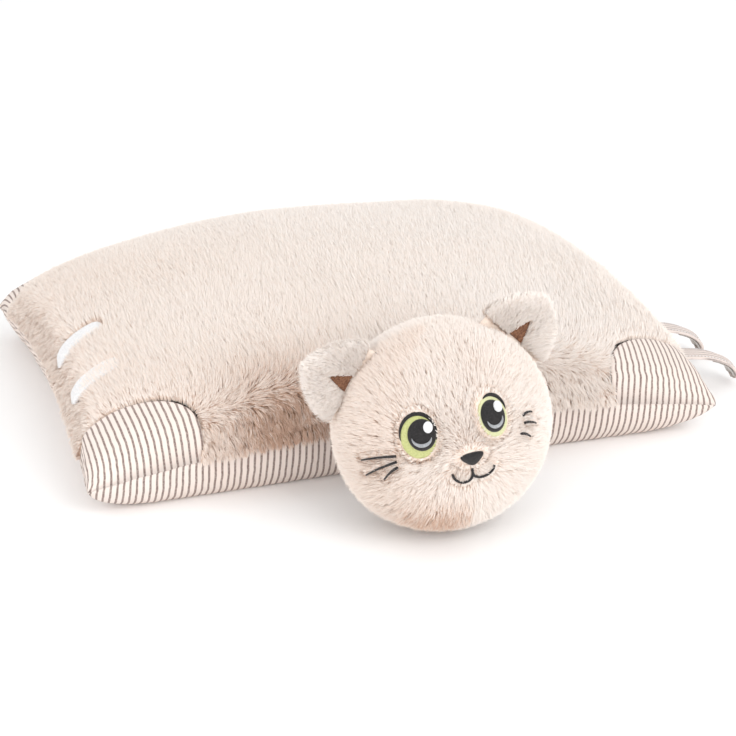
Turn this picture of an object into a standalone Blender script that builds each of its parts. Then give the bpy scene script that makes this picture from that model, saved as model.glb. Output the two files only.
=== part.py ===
"""Plush cat that is also a fold-under pillow, lying flat and open.

Frame: +X along the pillow's length, +Y to its back edge, +Z up, metres.
The origin is the centre of the flat underside. The cat's head is sewn to the middle of
the front edge and rests its chin on the surface that the pillow lies on.

The pillow is cut into three rigid lengths: a middle one and two flanks that fold down and
under about hinge lines inside the stuffing. What crosses the fold is soft and deforms.
"""

import math

import bmesh
import bpy
from mathutils import Matrix, Vector

# ---------------------------------------------------------------- driving dimensions
HALF_LENGTH = 0.225       # pillow centre to its short edge, at the corner tips
HALF_WIDTH = 0.177        # pillow centre to its long edge, at the corner tips
EDGE_PULL_X = 0.008       # how far the middle of a short edge is drawn in
EDGE_PULL_Y = 0.006       # how far the middle of a long edge is drawn in
CROWN = 0.104             # height of the stuffed pillow at its centre, over the pile
SEAM_MID = 0.040          # height of the edge seam at the middle of each edge
SEAM_CORNER = 0.023       # height of the edge seam at the corner tips

PILE = 0.0060             # thickness that the plush pile adds over its backing
BACKING = 0.0015          # thickness of the woven cloths
GAP = 0.0003              # clearance between parts that touch
CORE_GAP = 0.0012         # clearance between the faceted stuffing and the cloth over it
GRID_X, GRID_Y = 22, 18   # facets along the pillow's length and width

FOLD_X = 0.060            # fold line, from the middle of the pillow
FOLD_Z = 0.058            # height of the fold line; under FOLD_X, so undersides never cross

PAW_LENGTH = 0.079        # reach of a striped corner patch along the long edge
PAW_DEPTH = 0.039         # its reach along the short edge
PAW_SQUARENESS = 2.05     # exponent of its rounded outline
PAW_DROP = 0.0045         # how far its cloth lies under the tips of the pile
PAW_LIFT = 0.0034         # its lower edge clears the seam by this much
PAW_MARGIN = 0.0022       # the plush is cut back this far round the patch
PAW_TURNS, PAW_RINGS = 12, 6

PATCH_LENGTH = 0.052      # loop patch, up the flank's slope
PATCH_WIDTH = 0.016
PATCH_X = -0.202          # middle of each loop patch along the pillow
PATCH_LOW = 0.046         # the flank below this height has no patch
CLOSURE_Y = {"front": -0.095, "back": -0.038}   # the straps and the patches they close on

STRAP_WIDTH = 0.020
STRAP_THICK = 0.0028
STRAP_START = Vector((0.2230, 0.0, 0.030))
STRAP_REACH = 0.061       # how far the strap stands out from the edge seam
STRAP_DROP = 0.026        # how far its tip hangs below its root
STRAP_STEPS = 12
HOOK_THICK = 0.0012
HOOK_SPAN = (0.45, 0.90)  # part of the strap's length that the hook pad covers

HEAD_CENTRE = Vector((-0.006, -0.242, 0.0694))
HEAD_RADII = Vector((0.0715, 0.0645, 0.0690))
HEAD_ROLL = math.radians(8.5)   # the head lolls towards -X
FACE_PANEL = 0.0030       # thickness of the head's plush panels
HEAD_SEAM_Y = 0.008       # the side seam, behind the head's centre
NECK_CENTRE = Vector((0.0, -0.1816, 0.052))
NECK_RADIUS = 0.0110      # gathered knot of cloth that the head turns on
NECK_CLEARANCE = 0.0006

EYES = {"left": (-31.2, 20.5), "right": (14.7, 23.1)}   # degrees round and up from the front
IRIS_RADII = {"left": (0.0112, 0.0134), "right": (0.0098, 0.0129)}
PUPIL_RADII = {"left": (0.0088, 0.0099), "right": (0.0081, 0.0102)}
GLINT_RADII = (0.0029, 0.0036)
GLINT_SHIFT = (0.0044, 0.0047)                     # from the pupil's middle
LID_THICK = 0.0024
EYE_LOOK = {"left": (0.0024, 0.0013), "right": (-0.0004, 0.0005)}   # from the iris's middle
LID_TURNS = {"left": (190.0, -12.0), "right": (108.0, 5.0)}   # degrees round the eye
NOSE_AT = (-3.0, 4.9)
NOSE_RADII = (0.0070, 0.0042)
MOUTH_TOP = (-4.0, -1.4)
MOUTH_ENDS = {"left": (-15.0, -2.3), "right": (8.7, -3.3)}
THREAD = 0.0007           # radius of a whisker or mouth line
EMBROIDERY = 0.0010       # thickness of a sewn patch of thread
LAYER = 0.0013            # step from one layer of embroidery to the next

WHISKERS = {
    "left": (((-43.9, 10.2), (-65.0, 5.0)),
             ((-43.9, 7.1), (-63.2, -3.2)),
             ((-43.6, 4.0), (-52.2, -3.8))),
    "right": (((33.8, 15.7), (41.3, 14.4)),
              ((33.3, 11.6), (42.1, 7.2)),
              ((28.8, 7.3), (35.4, 2.8))),
}

EAR_TILT = math.radians(52.0)    # from the head's crown, towards each side
EAR_WIDTH = 0.054
EAR_HEIGHT = 0.037
EAR_THICK = 0.011
EAR_SET_BACK = 0.004
EAR_CLEARANCE = 0.0020
LINING_SCALE = 0.46
LINING_THICK = 0.0012
LINING_CLEARANCE = 0.0050 # the lining stops this far over the head, so the ear can flop

COLOURS = {               # base colour, roughness
    "plush": ((0.84, 0.76, 0.68), 0.95),
    "ticking": ((0.80, 0.74, 0.70), 0.90),
    "filling": ((0.90, 0.90, 0.88), 1.00),
    "loop_tape": ((0.88, 0.88, 0.87), 0.95),
    "strap_web": ((0.78, 0.74, 0.71), 0.85),
    "hook_tape": ((0.70, 0.69, 0.67), 0.80),
    "thread_black": ((0.015, 0.014, 0.014), 0.55),
    "thread_green": ((0.60, 0.66, 0.26), 0.60),
    "thread_white": ((0.90, 0.90, 0.90), 0.60),
    "ear_lining": ((0.20, 0.10, 0.055), 0.90),
}


# ---------------------------------------------------------------- scene and small helpers
for old in list(bpy.data.objects):
    bpy.data.objects.remove(old, do_unlink=True)

PARTS = bpy.data.collections.new("plush_cat")
CUTTERS = bpy.data.collections.new("plush_cat_cutters")
for collection in (PARTS, CUTTERS):
    bpy.context.scene.collection.children.link(collection)


def material(slot):
    """The Principled material of a slot, made once."""
    if slot in bpy.data.materials:
        return bpy.data.materials[slot]
    colour, roughness = COLOURS[slot]
    made = bpy.data.materials.new(slot)
    made.use_nodes = True
    shader = made.node_tree.nodes["Principled BSDF"]
    shader.inputs["Base Color"].default_value = (*colour, 1.0)
    shader.inputs["Roughness"].default_value = roughness
    shader.inputs["Metallic"].default_value = 0.0
    return made


def part(name, mesh, slot, parent=None, smooth=True):
    """A named sub-part. Under a parent, the mesh is in the parent's own frame."""
    thing = bpy.data.objects.new(name, mesh)
    PARTS.objects.link(thing)
    mesh.materials.clear()
    mesh.materials.append(material(slot))
    if smooth:
        mesh.shade_smooth()
        mesh.set_sharp_from_angle(angle=math.radians(40))
    if parent:
        thing.parent = parent
    return thing


def cutter(name, mesh, parent=None):
    """A shape that only cuts others: it stays out of the model."""
    thing = bpy.data.objects.new(name, mesh)
    CUTTERS.objects.link(thing)
    thing.hide_render = True
    thing.display_type = "WIRE"
    if parent:
        thing.parent = parent
    return thing


def pivot(name, location, parent=None):
    """An empty on a joint's axis, which the moving parts hang from."""
    empty = bpy.data.objects.new(name, None)
    PARTS.objects.link(empty)
    empty.location = location
    empty.empty_display_size = 0.02
    if parent:
        empty.parent = parent
    return empty


def finish(bm, name):
    """Turns a closed bmesh into a mesh with its faces pointing out."""
    bmesh.ops.recalc_face_normals(bm, faces=bm.faces)
    if bm.calc_volume(signed=True) < 0:
        bmesh.ops.reverse_faces(bm, faces=bm.faces)
    mesh = bpy.data.meshes.new(name)
    bm.to_mesh(mesh)
    bm.free()
    return mesh


def boolean(thing, other, operation):
    """Adds an exact Boolean with another object."""
    step = thing.modifiers.new(f"{operation.lower()}_{other.name}", "BOOLEAN")
    step.operation = operation
    step.solver = "EXACT"
    step.object = other
    return step


def thicken(thing, thickness, offset):
    """Gives an open surface its thickness: -1 inwards, 0 to both sides."""
    shell = thing.modifiers.new("thickness", "SOLIDIFY")
    shell.thickness = thickness
    shell.offset = offset


def box_mesh(name, low, high):
    """A box between two corners."""
    bm = bmesh.new()
    bmesh.ops.create_cube(bm, size=1.0)
    size = Vector(high) - Vector(low)
    middle = (Vector(high) + Vector(low)) / 2
    bmesh.ops.scale(bm, vec=size, verts=bm.verts)
    bmesh.ops.translate(bm, vec=middle, verts=bm.verts)
    return finish(bm, name)


# ---------------------------------------------------------------- the pillow's form
def plan_point(u, v):
    """Where a point of the pillow's grid lies, seen from above."""
    return (HALF_LENGTH * u - EDGE_PULL_X * u * (1 - v * v),
            HALF_WIDTH * v - EDGE_PULL_Y * v * (1 - u * u))


def seam_height(u, v):
    """Height of the edge seam: highest in the middle of each edge, low at the corners."""
    return SEAM_CORNER + (SEAM_MID - SEAM_CORNER) * (1 - (u * v) ** 2)


def crown_rise(u, v):
    """0 at the edge seam, 1 at the crown, steep at the edges as a stuffed pillow is."""
    along = max(0.0, 1 - abs(u) ** 2.6) ** 0.31
    across = max(0.0, 1 - abs(v) ** 3.8) ** 0.31
    slack_corner = 1 - 0.22 * (u * v) ** 2
    return along * across * slack_corner


def base_fall(u, v):
    """0 at the edge seam, 1 over the flat middle that rests on the table."""
    along = max(0.0, 1 - abs(u) ** 14) ** 0.5
    across = max(0.0, 1 - abs(v) ** 14) ** 0.5
    return min(1.0, 1.15 * along * across)


def pillow_mesh(name, inset=0.0, drop=0.0, lift=0.0):
    """The closed pillow form, made smaller by an edge inset, a crown drop and a base lift."""
    bm = bmesh.new()
    for upper in (True, False):
        grid = bmesh.ops.create_grid(bm, x_segments=GRID_X, y_segments=GRID_Y, size=1.0)
        for vert in grid["verts"]:
            u = math.sin(vert.co.x * math.pi / 2)
            v = math.sin(vert.co.y * math.pi / 2)
            x, y = plan_point(u, v)
            vert.co.x = x - inset * u
            vert.co.y = y - inset * v
            seam = seam_height(u, v)
            if upper:
                vert.co.z = seam + (CROWN - drop - SEAM_MID) * crown_rise(u, v)
            else:
                vert.co.z = seam - (seam - lift) * base_fall(u, v)
    bmesh.ops.remove_doubles(bm, verts=bm.verts, dist=0.00001)
    return finish(bm, name)


def seam_side_mesh(name, above):
    """All the space above or below the surface that holds the edge seam."""
    bm = bmesh.new()
    reach = 1.3
    grid = bmesh.ops.create_grid(bm, x_segments=GRID_X, y_segments=GRID_Y, size=reach)
    for vert in grid["verts"]:
        u = max(-1.0, min(1.0, vert.co.x))
        v = max(-1.0, min(1.0, vert.co.y))
        shift = GAP / 2 if above else -GAP / 2
        vert.co = (HALF_LENGTH * vert.co.x, HALF_WIDTH * vert.co.y, seam_height(u, v) + shift)
    grown = bmesh.ops.extrude_face_region(bm, geom=list(bm.faces))
    for item in grown["geom"]:
        if isinstance(item, bmesh.types.BMVert):
            item.co.z = 0.30 if above else -0.05
    return finish(bm, name)


def prism_mesh(name, outline, low, high):
    """A flat outline in X and Y, made into a prism between two heights."""
    bm = bmesh.new()
    verts = [bm.verts.new((x, y, low)) for x, y in outline]
    face = bm.faces.new(verts)
    grown = bmesh.ops.extrude_face_region(bm, geom=[face])
    for item in grown["geom"]:
        if isinstance(item, bmesh.types.BMVert):
            item.co.z = high
    return finish(bm, name)


def paw_edge(side_x, side_y, turn, share, grow=0.0):
    """Grid point on a squarish quarter ellipse round a corner, drawn in by share."""
    reach_u = (PAW_LENGTH + grow) / HALF_LENGTH
    reach_v = (PAW_DEPTH + grow) / HALF_WIDTH
    u = 1 - share * reach_u * abs(math.cos(turn)) ** (2 / PAW_SQUARENESS)
    v = 1 - share * reach_v * abs(math.sin(turn)) ** (2 / PAW_SQUARENESS)
    return side_x * u, side_y * v


def paw_hole_outline(side_x, side_y):
    """The corner patch's outline from above, a gap larger and closed outside the pillow."""
    points = []
    for i in range(PAW_TURNS + 1):
        turn = math.pi / 2 * i / PAW_TURNS
        points.append(plan_point(*paw_edge(side_x, side_y, turn, 1.0, PAW_MARGIN)))
    out_x = side_x * (HALF_LENGTH + 0.03)
    out_y = side_y * (HALF_WIDTH + 0.03)
    return [(points[0][0], out_y), *points, (out_x, points[-1][1]), (out_x, out_y)]


def paw_mesh(name, side_x, side_y):
    """A corner's woven patch: rings from the corner tip out to the arched outline."""
    bm = bmesh.new()
    rings = []
    for j in range(PAW_RINGS + 1):
        ring = []
        for i in range(PAW_TURNS + 1):
            turn = math.pi / 2 * i / PAW_TURNS
            u, v = paw_edge(side_x, side_y, turn, j / PAW_RINGS)
            x, y = plan_point(u, v)
            rise = (CROWN - PAW_DROP - SEAM_MID) * crown_rise(u, v)
            ring.append(bm.verts.new((x, y, seam_height(u, v) + PAW_LIFT + rise)))
        rings.append(ring)
    for inner, outer_ring in zip(rings, rings[1:]):
        for i in range(PAW_TURNS):
            bm.faces.new((inner[i], inner[i + 1], outer_ring[i + 1], outer_ring[i]))
    bmesh.ops.remove_doubles(bm, verts=bm.verts, dist=0.00001)
    bm.normal_update()
    if sum(face.normal.z for face in bm.faces) < 0:
        bmesh.ops.reverse_faces(bm, faces=bm.faces)
    mesh = bpy.data.meshes.new(name)
    bm.to_mesh(mesh)
    bm.free()
    return mesh


def patch_outline(y, grow):
    """Rectangle of a loop patch, seen from above."""
    half = PATCH_WIDTH / 2 + grow
    low = PATCH_X - PATCH_LENGTH * 0.33 - grow
    high = PATCH_X + PATCH_LENGTH * 0.33 + grow
    return [(low, y - half), (high, y - half), (high, y + half), (low, y + half)]


outer = pillow_mesh("pillow_outer")
PAST = 0.001              # a cutter runs this far past the side that it leaves alone
PLUSH_INSET = 0.0050      # thickness of the plush where it stands upright at the edge
plush_hollow = cutter(
    "plush_hollow", pillow_mesh("plush_hollow", PLUSH_INSET, PILE + BACKING, -PAST))
base_hollow = cutter("base_hollow", pillow_mesh("base_hollow", BACKING, -PAST, BACKING))
patch_outer = pillow_mesh("patch_outer", 0.0004, 0.0045, -PAST)
patch_hollow = cutter("patch_hollow", pillow_mesh("patch_hollow", 0.0024, 0.0065, -2 * PAST))
core = pillow_mesh(
    "core", PLUSH_INSET + CORE_GAP, PILE + BACKING + CORE_GAP, BACKING + CORE_GAP)
above_seam = cutter("above_seam", seam_side_mesh("above_seam", True))
below_seam = cutter("below_seam", seam_side_mesh("below_seam", False))

FAR = 0.4
REGIONS = {
    "left": ((-FAR, -FAR, -FAR), (-FOLD_X - GAP / 2, FAR, FAR)),
    "spine": ((-FOLD_X + GAP / 2, -FAR, -FAR), (FOLD_X - GAP / 2, FAR, FAR)),
    "right": ((FOLD_X + GAP / 2, -FAR, -FAR), (FAR, FAR, FAR)),
}
regions = {}
for region, (low, high) in REGIONS.items():
    regions[region] = cutter(f"region_{region}", box_mesh(f"region_{region}", low, high))

fold_pivots = {
    "spine": None,
    "left": pivot("left_fold_axis", (-FOLD_X, 0.0, FOLD_Z)),
    "right": pivot("right_fold_axis", (FOLD_X, 0.0, FOLD_Z)),
}


def hang(thing, parent):
    """Puts a part modelled in the pillow's frame under a pivot without moving it."""
    if parent:
        thing.parent = parent
        thing.matrix_parent_inverse = Matrix.Translation(-parent.location)
    return thing


# ---------------------------------------------------------------- striped paws, loop patches
SIDES = {"left": -1, "right": 1}
ENDS = {"front": -1, "back": 1}
paw_holes = {"left": [], "right": []}
for side, sx in SIDES.items():
    for end, sy in ENDS.items():
        name = f"paw_{end}_{side}"
        hole = cutter(f"{name}_hole", prism_mesh(name, paw_hole_outline(sx, sy), -0.1, 0.3))
        paw_holes[side].append(hole)
        paw = part(name, paw_mesh(name, sx, sy), "ticking")
        thicken(paw, BACKING, -1.0)
        hang(paw, fold_pivots[side])

patch_holes = []
for end, y in CLOSURE_Y.items():
    name = f"loop_patch_{end}"
    shape = cutter(f"{name}_shape", prism_mesh(name, patch_outline(y, 0), PATCH_LOW, 0.3))
    hole = cutter(f"{name}_hole", prism_mesh(name, patch_outline(y, GAP), PATCH_LOW, 0.3))
    patch_holes.append(hole)
    patch = part(name, patch_outer.copy(), "loop_tape")
    boolean(patch, patch_hollow, "DIFFERENCE")
    boolean(patch, shape, "INTERSECT")
    hang(patch, fold_pivots["left"])

# ---------------------------------------------------------------- plush, base and stuffing
for region in REGIONS:
    plush = part(f"{region}_plush", outer.copy(), "plush")
    boolean(plush, plush_hollow, "DIFFERENCE")
    boolean(plush, above_seam, "INTERSECT")
    boolean(plush, regions[region], "INTERSECT")
    for hole in paw_holes.get(region, []):
        boolean(plush, hole, "DIFFERENCE")
    if region == "left":
        for hole in patch_holes:
            boolean(plush, hole, "DIFFERENCE")
    hang(plush, fold_pivots[region])

    base = part(f"{region}_ticking_base", outer.copy(), "ticking")
    boolean(base, base_hollow, "DIFFERENCE")
    boolean(base, below_seam, "INTERSECT")
    boolean(base, regions[region], "INTERSECT")
    hang(base, fold_pivots[region])

    stuffing = part(f"{region}_filling", core.copy(), "filling")
    boolean(stuffing, regions[region], "INTERSECT")
    hang(stuffing, fold_pivots[region])

fold_floor = cutter(
    "above_fold", box_mesh("above_fold", (-FAR, -FAR, FOLD_Z + GAP), (FAR, FAR, FAR)))
fold_roof = cutter(
    "below_fold", box_mesh("below_fold", (-FAR, -FAR, -FAR), (FAR, FAR, FOLD_Z)))
boolean(PARTS.objects["spine_filling"], fold_floor, "INTERSECT")
fold_filling = part("fold_filling", core.copy(), "filling")
boolean(fold_filling, regions["spine"], "INTERSECT")
boolean(fold_filling, fold_roof, "INTERSECT")


# ---------------------------------------------------------------- closure straps
def strap_point(t):
    """The strap's middle line in X and Z: level at its root, then curling down to the table."""
    x = STRAP_REACH * math.sin(t * math.pi / 2) ** 0.95
    z = 0.001 * math.sin(t * math.pi) - STRAP_DROP * t ** 1.8
    return x, z


def strap_mesh(name, start, stop, width, rounded, offset):
    """A strip along the strap, offset square to it; a Solidify gives it its thickness."""
    bm = bmesh.new()
    rows = []
    for i in range(STRAP_STEPS + 1):
        t = start + (stop - start) * i / STRAP_STEPS
        x, z = strap_point(t)
        ahead_x, ahead_z = strap_point(t + 0.001)
        back_x, back_z = strap_point(t - 0.001) if t > 0.001 else (x, z)
        tangent = Vector((ahead_x - back_x, 0, ahead_z - back_z)).normalized()
        normal = Vector((-tangent.z, 0, tangent.x))
        half = width / 2
        if rounded:
            past = max(0.0, (t - 0.80) / 0.20)
            half *= math.sqrt(max(0.05, 1 - past * past))
        middle = Vector((x, 0, z)) + normal * offset
        rows.append([bm.verts.new(middle + Vector((0, y, 0))) for y in (-half, 0, half)])
    for near, far in zip(rows, rows[1:]):
        for a in range(2):
            bm.faces.new((near[a], far[a], far[a + 1], near[a + 1]))
    mesh = bpy.data.meshes.new(name)
    bm.to_mesh(mesh)
    bm.free()
    return mesh


for end, y in CLOSURE_Y.items():
    axis = pivot(f"strap_{end}_axis", STRAP_START + Vector((0, y, 0)) - fold_pivots["right"].location,
                 fold_pivots["right"])
    strap = part(f"strap_{end}", strap_mesh("strap", 0.02, 1.0, STRAP_WIDTH, True, 0.0),
                 "strap_web", axis)
    thicken(strap, STRAP_THICK, 0.0)
    below = -STRAP_THICK / 2 - GAP - HOOK_THICK / 2
    pad = part(f"hook_pad_{end}",
               strap_mesh("hook_pad", *HOOK_SPAN, STRAP_WIDTH * 0.72, False, below),
               "hook_tape", axis)
    thicken(pad, HOOK_THICK, 0.0)


# ---------------------------------------------------------------- neck and head
def ball_mesh(name, radii, segments=28, rings=16):
    """An ellipsoid round the origin, from a sphere primitive."""
    bm = bmesh.new()
    bmesh.ops.create_uvsphere(bm, u_segments=segments, v_segments=rings, radius=1.0)
    bmesh.ops.scale(bm, vec=radii, verts=bm.verts)
    return finish(bm, name)


def grown(radii, by):
    """Radii with the same amount added to each."""
    return Vector((radii.x + by, radii.y + by, radii.z + by))


neck_axis = pivot("neck_axis", NECK_CENTRE)
part("neck_gather", ball_mesh("neck_gather", Vector((NECK_RADIUS,) * 3), 16, 10), "plush",
     neck_axis)

head_axis = pivot("head_axis", (0.0, 0.0, 0.0), neck_axis)
head_frame = pivot("head_frame", HEAD_CENTRE - NECK_CENTRE, head_axis)
head_frame.rotation_euler = (0.0, -HEAD_ROLL, 0.0)
bpy.context.view_layer.update()

hollow_radii = grown(HEAD_RADII, -FACE_PANEL)
head_hollow = cutter("head_hollow", ball_mesh("head_hollow", hollow_radii), head_frame)
front_low, front_high = (-FAR, -FAR, -FAR), (FAR, HEAD_SEAM_Y - GAP / 2, FAR)
back_low, back_high = (-FAR, HEAD_SEAM_Y + GAP / 2, -FAR), (FAR, FAR, FAR)
head_front = cutter("head_front", box_mesh("head_front", front_low, front_high), head_frame)
head_back = cutter("head_back", box_mesh("head_back", back_low, back_high), head_frame)
neck_socket = cutter(
    "neck_socket", ball_mesh("neck_socket", Vector((NECK_RADIUS + NECK_CLEARANCE,) * 3), 24, 14))
neck_socket.location = NECK_CENTRE

face = part("face_panel", ball_mesh("face_panel", HEAD_RADII), "plush", head_frame)
boolean(face, head_hollow, "DIFFERENCE")
boolean(face, head_front, "INTERSECT")
rear = part("head_back_panel", ball_mesh("head_back_panel", HEAD_RADII), "plush", head_frame)
boolean(rear, head_hollow, "DIFFERENCE")
boolean(rear, head_back, "INTERSECT")
boolean(rear, neck_socket, "DIFFERENCE")
fill_radii = grown(HEAD_RADII, -FACE_PANEL - GAP)
head_fill = part("head_filling", ball_mesh("head_filling", fill_radii), "filling", head_frame)
boolean(head_fill, neck_socket, "DIFFERENCE")


# ---------------------------------------------------------------- embroidered face
def on_head(azimuth, elevation, out=0.0):
    """Point on the head, from its angles round and up from the front, raised by out."""
    a, e = math.radians(azimuth), math.radians(elevation)
    ray = Vector((math.sin(a) * math.cos(e), -math.cos(a) * math.cos(e), math.sin(e)))
    radii = grown(HEAD_RADII, out)
    size = Vector((ray.x / radii.x, ray.y / radii.y, ray.z / radii.z)).length
    return ray / size


def head_normal(point):
    """Outward direction of the head's surface at a point on it."""
    slope = Vector((point.x / HEAD_RADII.x ** 2, point.y / HEAD_RADII.y ** 2,
                    point.z / HEAD_RADII.z ** 2))
    return slope.normalized()


def face_matrix(azimuth, elevation):
    """Frame on the face: X to its side, Y up the face, Z straight out of the surface."""
    middle = on_head(azimuth, elevation)
    out = head_normal(middle)
    side = Vector((0, 0, 1)).cross(out).normalized()
    up = out.cross(side)
    turn = Matrix((side, up, out)).transposed().to_4x4()
    return Matrix.Translation(middle) @ turn


shells = {}


def sewn_patch(name, outline, place, layer, slot, hole=None):
    """Embroidery: a flat outline pressed onto the head as a thin curved layer."""
    low = GAP + layer * LAYER
    for tag, out in (("low", low), ("high", low + EMBROIDERY)):
        key = f"head_layer_{layer}_{tag}"
        if key not in shells:
            ball = ball_mesh(key, grown(HEAD_RADII, out), 56, 32)
            shells[key] = cutter(key, ball, head_frame)
    mesh = prism_mesh(name, outline, -0.012, 0.012)
    mesh.transform(place)
    thing = part(name, mesh, slot, head_frame)
    boolean(thing, shells[f"head_layer_{layer}_high"], "INTERSECT")
    boolean(thing, shells[f"head_layer_{layer}_low"], "DIFFERENCE")
    if hole:
        boolean(thing, hole, "DIFFERENCE")
    return thing


def oval(half_x, half_y, centre=(0.0, 0.0), steps=24):
    """An ellipse as an outline."""
    return [(centre[0] + half_x * math.cos(2 * math.pi * i / steps),
             centre[1] + half_y * math.sin(2 * math.pi * i / steps)) for i in range(steps)]


def lid_outline(radii, outer_turn, inner_turn):
    """A crescent over the top of an iris that tapers to both corners, in degrees."""
    steps = 16
    above, below = [], []
    for i in range(steps + 1):
        share = i / steps
        turn = math.radians(outer_turn + (inner_turn - outer_turn) * share)
        swell = math.sin(share * math.pi) ** 0.6
        inner_x, inner_y = radii[0] + GAP, radii[1] + GAP
        thick = 0.0007 + LID_THICK * swell
        below.append((inner_x * math.cos(turn), inner_y * math.sin(turn)))
        above.append(((inner_x + thick) * math.cos(turn), (inner_y + thick) * math.sin(turn)))
    return above + below[::-1]


for side, sx in SIDES.items():
    place = face_matrix(*EYES[side])
    look_x, look_y = EYE_LOOK[side]
    glint_at = (look_x + GLINT_SHIFT[0], look_y + GLINT_SHIFT[1])
    sewn_patch(f"eye_{side}_iris", oval(*IRIS_RADII[side]), place, 0, "thread_green")
    sewn_patch(f"eye_{side}_pupil", oval(*PUPIL_RADII[side], (look_x, look_y)), place, 1,
               "thread_black")
    sewn_patch(f"eye_{side}_glint", oval(*GLINT_RADII, glint_at, 16), place, 2,
               "thread_white")
    outer_turn, inner_turn = LID_TURNS[side]
    sewn_patch(f"eye_{side}_lid", lid_outline(IRIS_RADII[side], outer_turn, inner_turn), place, 0,
               "thread_black")


def nose_outline():
    """A wide soft triangle with its point down."""
    steps = 24
    points = []
    for i in range(steps):
        turn = 2 * math.pi * i / steps
        narrowing = 1 + 0.38 * math.sin(turn)
        points.append((NOSE_RADII[0] * math.cos(turn) * narrowing,
                       NOSE_RADII[1] * math.sin(turn) * (1 - 0.18 * math.sin(turn))))
    return points


sewn_patch("nose", nose_outline(), face_matrix(*NOSE_AT), 0, "thread_black")


def thread_line(name, places, radius=THREAD):
    """A line of stitches: a filled tube through points on the face."""
    curve = bpy.data.curves.new(name, "CURVE")
    curve.dimensions = "3D"
    curve.bevel_depth = radius
    curve.bevel_resolution = 1
    curve.use_fill_caps = True
    line = curve.splines.new("POLY")
    line.points.add(len(places) - 1)
    for point, (azimuth, elevation) in zip(line.points, places):
        point.co = (*on_head(azimuth, elevation, radius + GAP), 1.0)
    curve.materials.append(material("thread_black"))
    thing = bpy.data.objects.new(name, curve)
    PARTS.objects.link(thing)
    thing.parent = head_frame
    return thing


def sagging(start, end, sag, steps):
    """Points from start to end along an arc that dips by sag degrees."""
    points = []
    for i in range(steps + 1):
        share = i / steps
        azimuth = start[0] + (end[0] - start[0]) * share
        elevation = start[1] + (end[1] - start[1]) * share - sag * 4 * share * (1 - share)
        points.append((azimuth, elevation))
    return points


mouth_join = (MOUTH_TOP[0], MOUTH_TOP[1] - 2.6)
thread_line("mouth_left", [MOUTH_TOP] + sagging(mouth_join, MOUTH_ENDS["left"], 5.6, 7))
beside_join = (mouth_join[0] + 1.6, mouth_join[1] - 0.9)
thread_line("mouth_right", sagging(beside_join, MOUTH_ENDS["right"], 4.4, 7))
for side in SIDES:
    for i, (start, end) in enumerate(WHISKERS[side]):
        thread_line(f"whisker_{side}_{i + 1}", sagging(start, end, -0.8, 4))


# ---------------------------------------------------------------- ears
def ear_outline(width, height):
    """A triangle with a rounded tip and bowed sides, with its base below the hinge line."""
    steps = 14
    points = []
    for i in range(steps + 1):
        turn = math.pi * i / steps
        x = math.cos(turn) * width / 2
        y = height * math.sin(turn) ** 1.25
        points.append((x, y))
    return [(width / 2, -0.014), *points, (-width / 2, -0.014)][::-1]


def ear_mesh(name, width, height, low, high):
    """The ear's outline, standing in X and Z, between two depths."""
    mesh = prism_mesh(name, ear_outline(width, height), low, high)
    mesh.transform(Matrix.Rotation(math.radians(90), 4, "X"))
    return mesh


def seat(name, clearance):
    """The head, grown by a clearance, which an ear or its lining is cut to."""
    return cutter(name, ball_mesh(name, grown(HEAD_RADII, clearance), 56, 32), head_frame)


ear_seat = seat("ear_seat", EAR_CLEARANCE)
lining_seat = seat("lining_seat", LINING_CLEARANCE)
for side, sx in SIDES.items():
    crown = Vector((sx * math.sin(EAR_TILT), 0.0, math.cos(EAR_TILT)))
    reach = 1 / math.hypot(crown.x / HEAD_RADII.x, crown.z / HEAD_RADII.z)
    axis = pivot(f"ear_{side}_axis", crown * reach + Vector((0, EAR_SET_BACK, 0)), head_frame)
    axis.rotation_euler = (0.0, sx * EAR_TILT, 0.0)
    ear = part(f"ear_{side}", ear_mesh("ear", EAR_WIDTH, EAR_HEIGHT, -EAR_THICK / 2, EAR_THICK / 2),
               "plush", axis)
    boolean(ear, ear_seat, "DIFFERENCE")
    lining_low = EAR_THICK / 2 + GAP
    lining = part(f"ear_{side}_lining",
                  ear_mesh("lining", EAR_WIDTH * LINING_SCALE, EAR_HEIGHT * 0.78, lining_low,
                           lining_low + LINING_THICK), "ear_lining", axis)
    boolean(lining, lining_seat, "DIFFERENCE")

bpy.context.view_layer.update()
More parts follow.
